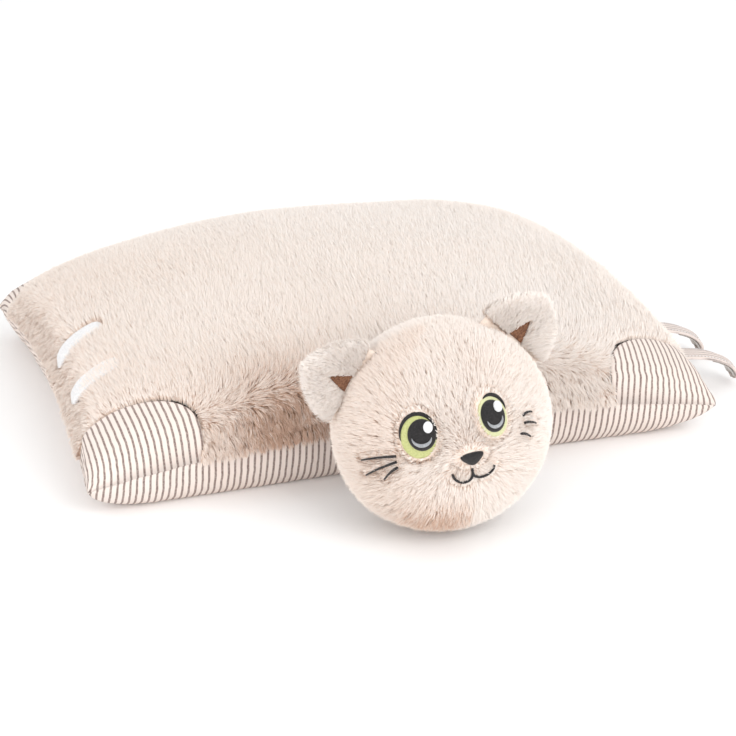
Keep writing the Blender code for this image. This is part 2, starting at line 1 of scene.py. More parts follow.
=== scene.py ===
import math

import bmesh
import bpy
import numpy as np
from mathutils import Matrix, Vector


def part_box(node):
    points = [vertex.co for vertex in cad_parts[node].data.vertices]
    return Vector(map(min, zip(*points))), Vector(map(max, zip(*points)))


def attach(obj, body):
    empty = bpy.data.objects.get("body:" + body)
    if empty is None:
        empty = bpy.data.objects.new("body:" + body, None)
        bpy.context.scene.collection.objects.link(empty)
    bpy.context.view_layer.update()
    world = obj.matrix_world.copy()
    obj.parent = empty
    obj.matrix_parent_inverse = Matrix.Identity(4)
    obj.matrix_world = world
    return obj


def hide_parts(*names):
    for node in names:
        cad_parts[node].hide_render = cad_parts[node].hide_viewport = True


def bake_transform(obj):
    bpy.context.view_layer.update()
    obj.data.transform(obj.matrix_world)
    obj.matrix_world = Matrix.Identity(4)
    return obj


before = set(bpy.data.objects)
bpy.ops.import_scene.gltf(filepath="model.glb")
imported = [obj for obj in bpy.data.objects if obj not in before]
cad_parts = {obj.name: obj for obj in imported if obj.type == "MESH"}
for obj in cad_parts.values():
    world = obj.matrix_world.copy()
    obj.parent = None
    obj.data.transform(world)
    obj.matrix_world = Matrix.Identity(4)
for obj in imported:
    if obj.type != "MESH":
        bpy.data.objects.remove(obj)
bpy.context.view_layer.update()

# %% [markdown]
# # A plush cat that is also a pillow
#
# The real thing is a pillow of long-pile plush over a striped cotton base, with a round
# plush head sewn to the middle of its front edge. The frame that was just loaded holds
# its size and the bodies that move. This script clothes that frame: every piece below is
# made where the frame says, and rides on the body that carries it.

MM = 0.001

# %% [markdown]
# ## Small tools for shapes
#
# Each surface here is a formula on a grid of two parameters, worked out for all its points
# at once. A few helpers turn such a grid into a mesh: one joins neighbouring points with
# quads, and one welds the places where a row of points shrinks to a pole, so that the
# piece is closed. Where a cloth needs a pattern that follows it, the grid also carries a
# map in metres of cloth.

# %% Arrays
def unit(vectors):
    """Each vector divided by its length."""
    size = np.linalg.norm(vectors, axis=-1, keepdims=True)
    return vectors / np.maximum(size, 1e-12)


def ease(low, high, value):
    """0 below low, 1 above high, and the smooth cubic 3t^2 - 2t^3 between them."""
    t = np.clip((value - low) / (high - low), 0, 1)
    return t * t * (3 - 2 * t)


def ripple(points, size, seed, waves=14):
    """Smooth noise, mostly within -1 and 1: a mean of sine waves in random directions,
    with wavelengths near size."""
    rng = np.random.default_rng(seed)
    aim = unit(rng.normal(size=(waves, 3)))
    pace = 2 * np.pi / (size * rng.uniform(0.7, 1.4, waves))
    start = rng.uniform(0, 2 * np.pi, waves)
    return 2.6 * np.sin(points @ (aim * pace[:, None]).T + start).mean(-1)


def swirls(points, size, *seeds):
    """A slowly turning direction at each point: one ripple for each axis."""
    return np.stack([ripple(points, size, seed) for seed in seeds], -1)


def lie_flat(vectors, normal):
    """The vectors without their share along the normal, so that they lie on the surface."""
    return vectors - normal * (vectors * normal).sum(1, keepdims=True)


print("half way up an ease:", ease(0.0, 1.0, 0.5))

# %% Grids into meshes
def quads(rows, columns, wrap=False):
    """Corner numbers of the quads between neighbouring rows and columns of a grid.
    With wrap, the last column is joined to the first."""
    index = np.arange(rows * columns).reshape(rows, columns)
    if wrap:
        index = np.concatenate([index, index[:, :1]], axis=1)
    corners = (index[:-1, :-1], index[:-1, 1:], index[1:, 1:], index[1:, :-1])
    return np.stack(corners, -1).reshape(-1, 4)


def fill_mesh(name, points, faces, cloth=None):
    """A mesh from an array of points and an array of faces, with its cloth map."""
    mesh = bpy.data.meshes.new(name)
    count, sides = faces.shape
    mesh.vertices.add(len(points))
    mesh.vertices.foreach_set("co", points.astype(np.float32).ravel())
    mesh.loops.add(count * sides)
    mesh.loops.foreach_set("vertex_index", faces.astype(np.int32).ravel())
    mesh.polygons.add(count)
    mesh.polygons.foreach_set("loop_start", np.arange(0, count * sides, sides, dtype=np.int32))
    mesh.update(calc_edges=True)
    if cloth is not None:
        layer = mesh.uv_layers.new(name="cloth")
        layer.uv.foreach_set("vector", cloth[faces.ravel()].astype(np.float32).ravel())
    mesh.shade_smooth()
    return mesh


def weld(mesh):
    """Merges the points that lie on each other, drops faces without area and, where the
    piece is closed, turns its faces outwards."""
    bm = bmesh.new()
    bm.from_mesh(mesh)
    bmesh.ops.remove_doubles(bm, verts=bm.verts, dist=1e-6)
    bmesh.ops.dissolve_degenerate(bm, edges=bm.edges, dist=1e-7)
    loose = [vert for vert in bm.verts if not vert.link_faces]
    bmesh.ops.delete(bm, geom=loose, context="VERTS")
    if all(edge.is_manifold for edge in bm.edges):
        bmesh.ops.recalc_face_normals(bm, faces=bm.faces)
        if bm.calc_volume(signed=True) < 0:
            bmesh.ops.reverse_faces(bm, faces=bm.faces)
    bm.to_mesh(mesh)
    bm.free()
    mesh.shade_smooth()
    return mesh


print("a grid of 3 by 4 points has", len(quads(3, 4)), "quads")

# %% Pieces
def piece(name, mesh, finishes):
    """Puts a finished mesh in the scene with its finishes."""
    thing = bpy.data.objects.new(name, mesh)
    bpy.context.scene.collection.objects.link(thing)
    for finish in finishes:
        mesh.materials.append(finish)
    return thing


def grid_piece(name, points, slot, finish, cloth=None, wrap=False, flip=False, keep=None):
    """A piece from a grid of points, welded at its seams and poles. Where keep is given,
    only the quads whose four corners it marks are made."""
    rows, columns = points.shape[:2]
    faces = quads(rows, columns, wrap)
    if keep is not None:
        faces = faces[keep.ravel()[faces].all(1)]
    if flip:
        faces = faces[:, ::-1]
    flat_cloth = None if cloth is None else cloth.reshape(-1, 2)
    mesh = weld(fill_mesh(name, points.reshape(-1, 3), faces, flat_cloth))
    return piece(name, mesh, [finish])


def thicken(thing, thickness):
    """Gives a sheet its thickness, inwards from the side that shows."""
    shell = thing.modifiers.new("thickness", "SOLIDIFY")
    shell.thickness = thickness
    shell.offset = -1.0
    return thing


print("a piece is made by", grid_piece.__name__, "and thickened by", thicken.__name__)

# %% [markdown]
# ## Shader maths as Python
#
# A finish is easier to read as a sum than as a picture of wires. The class below wraps one
# socket, so that an expression such as `1 - mask` or `wave * depth` adds its own Math
# nodes. A second class holds a material's nodes and adds any node from one method: its
# settings are set first, then its inputs get their values or links.

# %% A number in a material
class Number:
    """A socket that carries a number. Python's operators add Math nodes to it."""

    def __init__(self, graph, socket):
        self.graph = graph
        self.socket = socket

    def maths(self, operation, *values):
        made = self.graph.node("ShaderNodeMath", dict(enumerate(values)), operation=operation)
        return Number(self.graph, made.outputs[0])

    def __add__(self, other):
        return self.maths("ADD", self, other)

    def __radd__(self, other):
        return self.maths("ADD", other, self)

    def __sub__(self, other):
        return self.maths("SUBTRACT", self, other)

    def __rsub__(self, other):
        return self.maths("SUBTRACT", other, self)

    def __mul__(self, other):
        return self.maths("MULTIPLY", self, other)

    def __rmul__(self, other):
        return self.maths("MULTIPLY", other, self)

    def sine(self):
        return self.maths("SINE", self)

    def step(self, low, high):
        """0 below low, 1 above high, smooth between them."""
        made = self.graph.node("ShaderNodeMapRange", {0: self, 1: low, 2: high},
                               interpolation_type="SMOOTHSTEP")
        return Number(self.graph, made.outputs[0])


print("numbers take + - and *, from either side")

# %% The material's nodes
class Finish:
    """A material with one Principled shader, and a method that adds any node to it."""

    def __init__(self, name, colour, roughness, sheen=0.0):
        self.material = bpy.data.materials.new(name)
        self.material.use_nodes = True
        self.tree = self.material.node_tree
        self.shader = self.tree.nodes["Principled BSDF"]
        self.feed(self.shader.inputs["Base Color"], (*colour, 1.0))
        self.feed(self.shader.inputs["Roughness"], roughness)
        self.shader.inputs["Specular IOR Level"].default_value = 0.25
        self.shader.inputs["Sheen Weight"].default_value = sheen
        self.shader.inputs["Sheen Roughness"].default_value = 0.45
        self.shader.inputs["Sheen Tint"].default_value = (1.0, 0.93, 0.86, 1.0)

    def feed(self, socket, value):
        """Links an output to an input, or sets the input's own value."""
        value = value.socket if isinstance(value, Number) else value
        if isinstance(value, bpy.types.NodeSocket):
            self.tree.links.new(value, socket)
        else:
            socket.default_value = value

    def node(self, kind, inputs=None, **settings):
        """Adds a node: its settings first, then its inputs, by name or by number."""
        made = self.tree.nodes.new(kind)
        for setting, value in settings.items():
            setattr(made, setting, value)
        for key, value in (inputs or {}).items():
            self.feed(made.inputs[key], value)
        return made

    def place(self):
        """The point on the piece, in metres."""
        return self.node("ShaderNodeTexCoord").outputs["Object"]

    def cloth(self):
        """The two numbers of the piece's own cloth map, in metres of cloth."""
        spot = self.node("ShaderNodeUVMap", uv_map="cloth").outputs["UV"]
        split = self.node("ShaderNodeSeparateXYZ", {0: spot})
        return Number(self, split.outputs[0]), Number(self, split.outputs[1])

    def noise(self, spot, size, detail=2.0, rough=0.5):
        """Smooth noise from 0 to 1 whose lumps are about size metres across."""
        made = self.node("ShaderNodeTexNoise",
                         {"Vector": spot, "Scale": 1 / size, "Detail": detail,
                          "Roughness": rough})
        return Number(self, made.outputs[0])

    def mix(self, share, first, second):
        """A colour between two colours."""
        made = self.node("ShaderNodeMix", {0: share, 6: first, 7: second}, data_type="RGBA")
        return made.outputs[2]

    def colour(self, value):
        self.feed(self.shader.inputs["Base Color"], value)

    def rough(self, value):
        self.feed(self.shader.inputs["Roughness"], value)

    def relief(self, height, depth):
        """Raises the surface where height is 1, by depth metres, in its shading."""
        made = self.node("ShaderNodeBump",
                         {"Height": height, "Distance": depth, "Strength": 1.0})
        self.feed(self.shader.inputs["Normal"], made.outputs[0])


def shade(*rgb):
    """A colour with its fourth number."""
    return (*rgb, 1.0)


print("shader tools ready")

# %% [markdown]
# ## The pillow's form
#
# The stuffed pillow is a rectangle whose edges are drawn in between four soft points. Its
# top rises steeply from the edge seam to a wide crown, and its underside falls from the
# seam to the flat part that it rests on. The frame was made with the same formula, so its
# sizes are read from the frame where they show there, and the exponents are repeated here.

# %% Pillow form
HALF_LENGTH = -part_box("left_ticking_base")[0].x
HALF_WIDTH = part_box("left_ticking_base")[1].y
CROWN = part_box("spine_plush")[1].z
EDGE_PULL_X = 8.0 * MM
EDGE_PULL_Y = 6.0 * MM
SEAM_MID = 40.0 * MM
SEAM_CORNER = 23.0 * MM
RISE_ALONG, RISE_ACROSS, RISE_POWER = 2.6, 3.8, 0.31
BASE_SQUARENESS = 14
GATHERS = 0.8 * MM         # depth of the creases beside the edge seam


def plan(u, v):
    """Seen from above: a rectangle whose edges are drawn in by a parabola."""
    return (HALF_LENGTH * u - EDGE_PULL_X * u * (1 - v * v),
            HALF_WIDTH * v - EDGE_PULL_Y * v * (1 - u * u))


def seam_height(u, v):
    """The edge seam is high in the middle of each edge and low at the corners."""
    return SEAM_CORNER + (SEAM_MID - SEAM_CORNER) * (1 - (u * v) ** 2)


def crown_rise(u, v):
    """0 at the edge seam and 1 at the crown: a product of two steep superellipses."""
    along = np.maximum(0, 1 - np.abs(u) ** RISE_ALONG) ** RISE_POWER
    across = np.maximum(0, 1 - np.abs(v) ** RISE_ACROSS) ** RISE_POWER
    return along * across * (1 - 0.22 * (u * v) ** 2)


print("seam at a corner and at mid-edge:", seam_height(1, 1), seam_height(1, 0))

# %% The settled back, the underside and the gathers
def slump(u, v):
    """How far the stuffing has settled at the back: 9 mm at the left corner, fading
    towards the middle, and a hump of 4 mm on the right."""
    back = ease(0.1, 0.7, v)
    hump = ease(0.3, 0.6, u) * (1 - ease(0.75, 0.95, u))
    return back * (9 * MM * ease(0.1, 1.0, -u) - 4 * MM * hump)


def base_fall(u, v):
    """0 at the edge seam and 1 over the flat middle of the underside."""
    along = np.maximum(0, 1 - np.abs(u) ** BASE_SQUARENESS) ** 0.5
    across = np.maximum(0, 1 - np.abs(v) ** BASE_SQUARENESS) ** 0.5
    return np.minimum(1, 1.15 * along * across)


def pucker(points, u, v, depth):
    """Gathers beside the edge seam: noise that is stretched upwards, so its creases stand
    square to the seam, and that fades away from the edge."""
    edge = ease(0.80, 0.97, np.maximum(np.abs(u), np.abs(v)))
    crease = ripple(points * (1, 1, 0.16), 17 * MM, 41) + 0.5 * ripple(points, 9 * MM, 42)
    outwards = unit(np.stack([u, v, 0 * u], -1))
    return outwards * (depth * edge * crease)[..., None]


print("settled at the back left corner:", round(float(slump(-1.0, 1.0)), 4), "m")

# %% The two cloths
def top_cloth(u, v, drop=0.0, inset=0.0, gathers=GATHERS):
    """The upper cloth, let down by drop under the crown and drawn in by inset."""
    u, v = np.clip(u, -1, 1), np.clip(v, -1, 1)
    rise = crown_rise(u, v)
    inward = inset * ease(0.0, 0.30, rise)
    x, y = plan(u, v)
    z = seam_height(u, v) + (CROWN - drop - SEAM_MID - slump(u, v)) * rise
    points = np.stack([x - inward * u, y - inward * v, z], -1)
    return points + pucker(points, u, v, gathers)


def base_cloth(u, v):
    """The lower cloth, from the seam round under the pillow."""
    u, v = np.clip(u, -1, 1), np.clip(v, -1, 1)
    x, y = plan(u, v)
    seam = seam_height(u, v)
    points = np.stack([x, y, seam - seam * base_fall(u, v)], -1)
    return points + pucker(points, u, v, GATHERS)


print("cloth over the middle, at height", round(float(top_cloth(0.0, 0.0)[2]), 4), "m")

# %% The cloth maps
def spread(count, low=-1.0, high=1.0):
    """Numbers from low to high on a sine, closer together towards -1 and 1."""
    return np.sin(np.linspace(np.arcsin(low), np.arcsin(high), count))


def cloth_map(form, us, vs):
    """Metres of cloth from the middle lines to each point of a grid: the lengths of the
    steps along the rows and along the columns, added up."""
    points = form(*np.meshgrid(us, vs, indexing="ij"))
    across = np.linalg.norm(np.diff(points, axis=0), axis=-1)
    along = np.linalg.norm(np.diff(points, axis=1), axis=-1)
    a = np.concatenate([np.zeros((1, len(vs))), np.cumsum(across, axis=0)])
    b = np.concatenate([np.zeros((len(us), 1)), np.cumsum(along, axis=1)], axis=1)
    middle_u = np.abs(us).argmin()
    middle_v = np.abs(vs).argmin()
    return np.stack([a - a[middle_u], b - b[:, middle_v][:, None]], -1)


print("pillow", round(2 * HALF_LENGTH, 3), "x", round(2 * HALF_WIDTH, 3), "m")
print("crown", round(CROWN, 3), "m")

# %% [markdown]
# ## Finishes of the cloths and threads
#
# Striped ticking is a cotton woven from dyed and plain yarn: fine grey-brown lines on a
# warm off-white, with a plain weave that shows only close to. Its pattern follows the
# cloth, so the finish reads the piece's own map. The embroidery is satin stitch, which is
# a row of shiny threads side by side, and the backing of the plush is a soft knit that the
# pile hides almost everywhere.

# %% Woven ticking
STRIPE = 4.5 * MM


def ticking_finish(name, pitch, share, line, ground):
    """Stripes of one width across the cloth map, a little wavy, with a plain weave."""
    cloth = Finish(name, ground[:3], 0.85, sheen=0.15)
    a, b = cloth.cloth()
    spot = cloth.place()
    drift = cloth.noise(spot, 0.030, 2.0) * (0.9 * MM) + cloth.noise(spot, 0.004) * (0.35 * MM)
    wave = ((a + drift) * (2 * math.pi / pitch)).sine()
    edge = math.sin(math.pi / 2 - math.pi * share)
    mask = wave.step(edge - 0.22, edge + 0.22)
    yarn = cloth.noise(spot, 0.0012, 1.0).step(0.25, 0.75)
    soil = cloth.noise(spot, 0.05, 3.0)
    warm = cloth.mix(soil, ground, shade(*(c * f for c, f in zip(ground, (0.95, 0.90, 0.87)))))
    cloth.colour(cloth.mix(mask * (0.72 + yarn * 0.28), warm, line))
    weft = (a * (2 * math.pi / (0.55 * MM))).sine() * (b * (2 * math.pi / (0.55 * MM))).sine()
    cloth.relief(weft * 0.5 + cloth.noise(spot, 0.006) * 1.5, 0.12 * MM)
    cloth.rough(0.80 + yarn * 0.12)
    return cloth.material


TICKING = ticking_finish("ticking_stripe", STRIPE, 0.34, shade(0.215, 0.150, 0.132),
                         shade(0.86, 0.775, 0.725))
STRAP_TICKING = ticking_finish("strap_stripe", 2.6 * MM, 0.26, shade(0.28, 0.235, 0.225),
                               shade(0.82, 0.74, 0.70))


print("ticking stripes every", STRIPE, "m")

# %% Threads
def thread_finish(name, colour, darker, pitch=0.42 * MM):
    """Satin stitch: threads side by side along the cloth map, each a little different."""
    thread = Finish(name, colour[:3], 0.5, sheen=0.2)
    a, _ = thread.cloth()
    spot = thread.place()
    wander = thread.noise(spot, 0.003) * (0.5 * MM)
    strand = ((a + wander) * (2 * math.pi / pitch)).sine()
    tone = thread.noise(spot, 0.0011, 1.0)
    thread.colour(thread.mix(tone.step(0.3, 0.8) * 0.7, colour, darker))
    thread.relief(strand * 0.5 + 0.5, 0.18 * MM)
    thread.rough(0.42 + tone * 0.2)
    return thread.material


BLACK_THREAD = thread_finish("black_thread", shade(0.012, 0.011, 0.012), shade(0.035, 0.032, 0.034))
GREEN_THREAD = thread_finish("green_thread", shade(0.62, 0.64, 0.28), shade(0.47, 0.50, 0.19))
PALE_THREAD = thread_finish("pale_green_thread", shade(0.78, 0.78, 0.47), shade(0.63, 0.65, 0.34))
IRIS_THREADS = {"left": GREEN_THREAD, "right": PALE_THREAD}
WHITE_THREAD = thread_finish("white_thread", shade(0.90, 0.90, 0.91), shade(0.74, 0.75, 0.78))
GREY_THREAD = thread_finish("grey_thread", shade(0.42, 0.43, 0.45), shade(0.25, 0.26, 0.28))
print("threads:", GREEN_THREAD.name, PALE_THREAD.name, WHITE_THREAD.name, GREY_THREAD.name)

# %% Tapes, backing and lining
def fuzzy_finish(name, colour, darker, size, depth):
    """A soft cloth without a pattern: two tones and a fine nap."""
    soft = Finish(name, colour[:3], 0.95, sheen=0.35)
    spot = soft.place()
    nap = soft.noise(spot, size, 3.0, 0.65)
    soft.colour(soft.mix(nap.step(0.3, 0.7), darker, colour))
    soft.relief(nap, depth)
    soft.rough(0.88 + nap * 0.1)
    return soft.material


BACKING = fuzzy_finish("plush_backing", shade(0.88, 0.77, 0.68), shade(0.78, 0.64, 0.54),
                       4 * MM, 1.0 * MM)
LOOP_TAPE = fuzzy_finish("loop_tape_nap", shade(0.86, 0.86, 0.87), shade(0.70, 0.70, 0.71),
                         1.1 * MM, 0.5 * MM)
HOOK_TAPE = fuzzy_finish("hook_tape_nap", shade(0.74, 0.72, 0.70), shade(0.50, 0.48, 0.46),
                         1.4 * MM, 0.9 * MM)
LINING = fuzzy_finish("brown_velour", shade(0.26, 0.125, 0.070), shade(0.10, 0.042, 0.024),
                      1.3 * MM, 0.5 * MM)
print("finishes:", len(bpy.data.materials))

# %% [markdown]
# ## The cover of the pillow
#
# The cover is two cloths that meet at the edge seam: the backing of the plush above and
# the ticking below. Both cross the two fold lines, so each is cut in half along the
# middle. The whole cover is padded: it has no edge of its own except at the seam. The
# backing is left out under the striped paws, so the paws' outline comes first: an arch
# that is a quarter of a squarish ellipse round the corner's tip.

# %% The paws' outline
PAW_LENGTH = 79 * MM
PAW_DEPTH = 39 * MM
PAW_SQUARENESS = 2.05
PAW_DROP = 4.2 * MM
ENDS = {"front": -1, "back": 1}


def paw_place(sign_x, sign_y, turn, share):
    """Grid place on the arch with that share of the patch's reach, from turn 0 on the long
    edge to a right angle on the short edge."""
    u = 1 - share * PAW_LENGTH / HALF_LENGTH * np.abs(np.cos(turn)) ** (2 / PAW_SQUARENESS)
    v = 1 - share * PAW_DEPTH / HALF_WIDTH * np.abs(np.sin(turn)) ** (2 / PAW_SQUARENESS)
    return sign_x * u, sign_y * v


def inside_paw(u, v, grow=0.0):
    """Below 1 inside a paw's arch, as the squarish ellipse has it, grown by a length."""
    across = (1 - np.abs(u)) * HALF_LENGTH / (PAW_LENGTH + grow)
    along = (1 - np.abs(v)) * HALF_WIDTH / (PAW_DEPTH + grow)
    return across ** PAW_SQUARENESS + along ** PAW_SQUARENESS


print("a paw reaches", PAW_LENGTH, "by", PAW_DEPTH, "m")

# %% Plush backing and striped base
PILE_DEPTH = 5.5 * MM      # the backing lies this far under the frame's surface
WALL_DEPTH = 4.5 * MM      # the same, where the plush stands upright at the edges
SKIN = 1.2 * MM            # thickness of a cloth
UNDER_PAW = 0.90           # the backing ends this far inside a paw's arch
FLANKS = {"left": -1, "right": 1}


def backing(u, v):
    """The surface that the pile grows from."""
    return top_cloth(u, v, drop=PILE_DEPTH, inset=WALL_DEPTH)


def bend_over_fold(thing):
    """Bakes the piece's place into its mesh."""
    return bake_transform(thing)


for side, sign in FLANKS.items():
    us = spread(72, 0, 1) if sign > 0 else spread(72, -1, 0)
    vs = spread(110)
    U, V = np.meshgrid(us, vs, indexing="ij")
    cover = grid_piece(f"plush_backing_{side}", backing(U, V), "plush", BACKING,
                       cloth_map(backing, us, vs), flip=True, keep=inside_paw(U, V) > UNDER_PAW)
    thicken(cover, SKIN)
    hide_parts(f"{side}_plush", "spine_plush", f"{side}_filling", "spine_filling")
    bend_over_fold(cover)
    base = grid_piece(f"ticking_base_{side}", base_cloth(U, V), "ticking", TICKING,
                      cloth_map(base_cloth, us, vs))
    thicken(base, SKIN)
    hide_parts(f"{side}_ticking_base", "spine_ticking_base", "fold_filling")
    bend_over_fold(base)
    print(cover.name, len(cover.data.polygons), base.name, len(base.data.polygons))

# %% [markdown]
# ## Striped paws
#
# Each corner of the top has a patch of ticking with an arched edge, sewn into the plush so
# that the folded pillow stands on four striped paws. The patch is a grid of arches: each
# arch is a quarter of a squarish ellipse round the corner's tip, and the last one tucks in
# under the pile.

# %% A paw on its corner
def paw_cloth(sign_x, sign_y, turn, share):
    """The patch lies a little under the tips of the pile, swells a little between its
    edges and tucks in along its arch."""
    u, v = paw_place(sign_x, sign_y, turn, share)
    swell = 1.2 * MM * np.sin(np.pi * np.clip(share, 0, 1)) ** 0.8
    tuck = 1.8 * MM * ease(0.97, 1.0, share)
    rise = crown_rise(u, v)
    points = top_cloth(u, v, drop=PAW_DROP)
    points[..., 2] += (swell - tuck) * ease(0.0, 0.3, rise)
    return points


def lookup(table, us, vs, u, v):
    """Values of a table at any grid place, straight-line between its nearest entries."""
    i = np.clip(np.searchsorted(us, u) - 1, 0, len(us) - 2)
    j = np.clip(np.searchsorted(vs, v) - 1, 0, len(vs) - 2)
    s = np.clip((u - us[i]) / (us[i + 1] - us[i]), 0, 1)[..., None]
    t = np.clip((v - vs[j]) / (vs[j + 1] - vs[j]), 0, 1)[..., None]
    low = table[i, j] * (1 - s) + table[i + 1, j] * s
    high = table[i, j + 1] * (1 - s) + table[i + 1, j + 1] * s
    return low * (1 - t) + high * t


print("middle of a paw:", paw_cloth(-1, -1, np.array([np.pi / 4]), np.array([0.5]))[0].round(3))

# %% Cut the four paws
fine = spread(181)
top_map = cloth_map(top_cloth, fine, fine)
for side, sx in FLANKS.items():
    for end, sy in ENDS.items():
        turn, share = np.meshgrid(np.linspace(0, np.pi / 2, 49), np.linspace(0, 1, 41),
                                  indexing="ij")
        u, v = paw_place(sx, sy, turn, share)
        marks = lookup(top_map, fine, fine, u, v)
        marks[..., 0] += 0.10 * marks[..., 1] * sx * sy + 1.7 * MM
        flip = sx * sy < 0
        paw = grid_piece(f"striped_paw_{end}_{side}", paw_cloth(sx, sy, turn, share),
                         "ticking", TICKING, marks, flip=flip)
        thicken(paw, SKIN)
        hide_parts(f"paw_{end}_{side}")
        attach(paw, f"{side}_flank")

# %% [markdown]
# ## Loop patches
#
# Two strips of white loop tape are sewn to the left flank, and the straps close on them.
# Each is a flat strip with rounded ends that follows the flank and is held by a line of
# stitches round its edge. A place on the pillow is found from above: the formula for the
# plan is turned round by repeating it until it settles.

# %% A loop patch on the flank
PATCH_WIDTH = 16 * MM
PATCH_SQUARENESS = 7       # exponent of its rounded ends
PATCH_SPAN = {
    name: (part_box(name)[0].x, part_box(name)[1].x, (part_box(name)[0].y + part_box(name)[1].y) / 2)
    for name in ("loop_patch_front", "loop_patch_back")
}


def grid_place(x, y):
    """The pillow's grid place under a point of its plan, by repeated correction."""
    u, v = x / HALF_LENGTH, y / HALF_WIDTH
    for _ in range(12):
        u = (x + EDGE_PULL_X * u * (1 - v * v)) / HALF_LENGTH
        v = (y + EDGE_PULL_Y * v * (1 - u * u)) / HALF_WIDTH
    return u, v


def patch_cloth(low, high, y, along, across, drop=2.9 * MM):
    """The tape's surface: along it from -1 to 1, across it from -1 to 1, with ends
    rounded as a squarish ellipse and edges that dip to the backing."""
    middle, reach = (low + high) / 2, (high - low) / 2
    width = PATCH_WIDTH / 2 * np.maximum(0, 1 - np.abs(along) ** PATCH_SQUARENESS) ** 0.5
    u, v = grid_place(middle + reach * along, y + width * across)
    edge = np.maximum(np.abs(along), np.abs(across))
    sunk = drop + 1.4 * MM * ease(0.86, 1.0, edge)
    return top_cloth(u, v, drop=sunk, inset=sunk - 3 * MM, gathers=0.0)


print("loop patches:", {name: round(span[2], 3) for name, span in PATCH_SPAN.items()})

# %% Tubes and stitches
def tube(path, radius, sides=8):
    """A closed tube along a path: rings square to it, whose radius may change along it,
    with its ends drawn to points."""
    heading = unit(np.gradient(path, axis=0))
    ready = np.array([0.0, 0.0, 1.0]) - heading * heading[:, 2:3]
    aside = unit(np.where(np.abs(heading[:, 2:3]) > 0.95, np.cross(heading, (0, 1, 0)),
                          np.cross(heading, unit(ready))))
    above = np.cross(aside, heading)
    turn = np.linspace(0, 2 * np.pi, sides, endpoint=False)
    ring = aside[:, None] * np.cos(turn)[:, None] + above[:, None] * np.sin(turn)[:, None]
    radius = np.broadcast_to(radius, len(path))[:, None, None]
    rings = path[:, None] + ring * radius
    caps = (np.repeat(path[:1, None], sides, 1), np.repeat(path[-1:, None], sides, 1))
    return np.concatenate([caps[0], rings, caps[1]])


def join(name, parts, slot, finish):
    """One piece from several closed grids of the same size."""
    points = np.concatenate([part.reshape(-1, 3) for part in parts])
    rows, columns = parts[0].shape[:2]
    one = quads(rows, columns, wrap=True)
    faces = np.concatenate([one + k * rows * columns for k in range(len(parts))])
    line = np.linspace(0, 1, rows)[:, None] * np.ones((1, columns))
    cloth = np.tile(np.stack([line, line], -1).reshape(-1, 2) * 3 * MM, (len(parts), 1))
    return piece(name, weld(fill_mesh(name, points, faces, cloth)), [finish])


def stitches(name, line, pitch, radius, slot, finish):
    """A row of short stitches along a line of points: each is a small tube that rises in
    its middle, and covers two thirds of its pitch."""
    steps = np.concatenate([[0], np.cumsum(np.linalg.norm(np.diff(line, axis=0), axis=1))])
    starts = np.arange(0, steps[-1] - pitch * 0.66, pitch)
    parts = []
    for start in starts:
        reach = start + pitch * 0.66 * np.linspace(0, 1, 4)
        path = np.stack([np.interp(reach, steps, line[:, k]) for k in range(3)], -1)
        parts.append(tube(path, radius * np.array([0.5, 1.0, 1.0, 0.5]), sides=5))
    return join(name, parts, slot, finish)


print("sewing tools:", tube.__name__, join.__name__, stitches.__name__)

# %% Sew the loop patches
for name, (low, high, y) in PATCH_SPAN.items():
    along, across = np.meshgrid(np.linspace(-1, 1, 45), np.linspace(-1, 1, 17), indexing="ij")
    surface = patch_cloth(low, high, y, along, across)
    tape = grid_piece(f"{name}_tape", surface, "loop_tape", LOOP_TAPE)
    thicken(tape, 1.3 * MM)
    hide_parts(name)
    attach(tape, "left_flank")
    turn = np.linspace(0, 2 * np.pi, 160)
    ring_along = 0.93 * np.sign(np.cos(turn)) * np.abs(np.cos(turn)) ** 0.25
    ring_across = 0.82 * np.sign(np.sin(turn)) * np.abs(np.sin(turn)) ** 0.25
    line = patch_cloth(low, high, y, ring_along, ring_across, drop=2.6 * MM)
    sewn = stitches(f"{name}_stitches", line, 2.6 * MM, 0.22 * MM, "thread_white", WHITE_THREAD)
    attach(sewn, "left_flank")
    print(tape.name, len(tape.data.polygons), sewn.name, len(sewn.data.polygons))

# %% [markdown]
# ## Closure straps
#
# Two straps of doubled ticking stand out from the right edge and curl down. A strap is a
# flat band carried along a curve: its middle line leaves level and then falls, and its end
# is rounded. A line of stitches runs near both edges, and a pad of hook tape lies under
# its outer half.

# %% A strap as a curved band
STRAP_ROOT = Vector((223.0 * MM, 0.0, 30 * MM))
STRAP_REACH = 61 * MM
STRAP_DROP = 26 * MM
STRAP_HALF = 10 * MM
STRAP_THICK = 2.8 * MM
HOOK_SPAN = (0.45, 0.90)


def strap_line(t):
    """The strap's middle line seen from the side: level at its root, then falling."""
    x = STRAP_REACH * np.sin(t * np.pi / 2) ** 0.95
    z = 1 * MM * np.sin(t * np.pi) - STRAP_DROP * t ** 1.8
    return np.stack([x, 0 * t, z], -1)


def strap_band(y, t, across, half, offset):
    """A place on the band: across it from -1 to 1, and offset square to it."""
    near = np.clip(t, 0.001, 0.999)
    ahead = unit(strap_line(near + 0.001) - strap_line(near - 0.001))
    square = np.stack([-ahead[..., 2], 0 * t, ahead[..., 0]], -1)
    end = np.clip((t - 0.80) / 0.20, 0, 1)
    width = half * np.sqrt(np.maximum(0.04, 1 - end * end))
    curl = 0.9 * MM * across ** 2 - 0.5 * MM * np.cos(across * np.pi * 1.5)
    points = strap_line(t) + square * (offset - curl)[..., None]
    points[..., 1] = y + width * across
    return points + np.array(STRAP_ROOT)


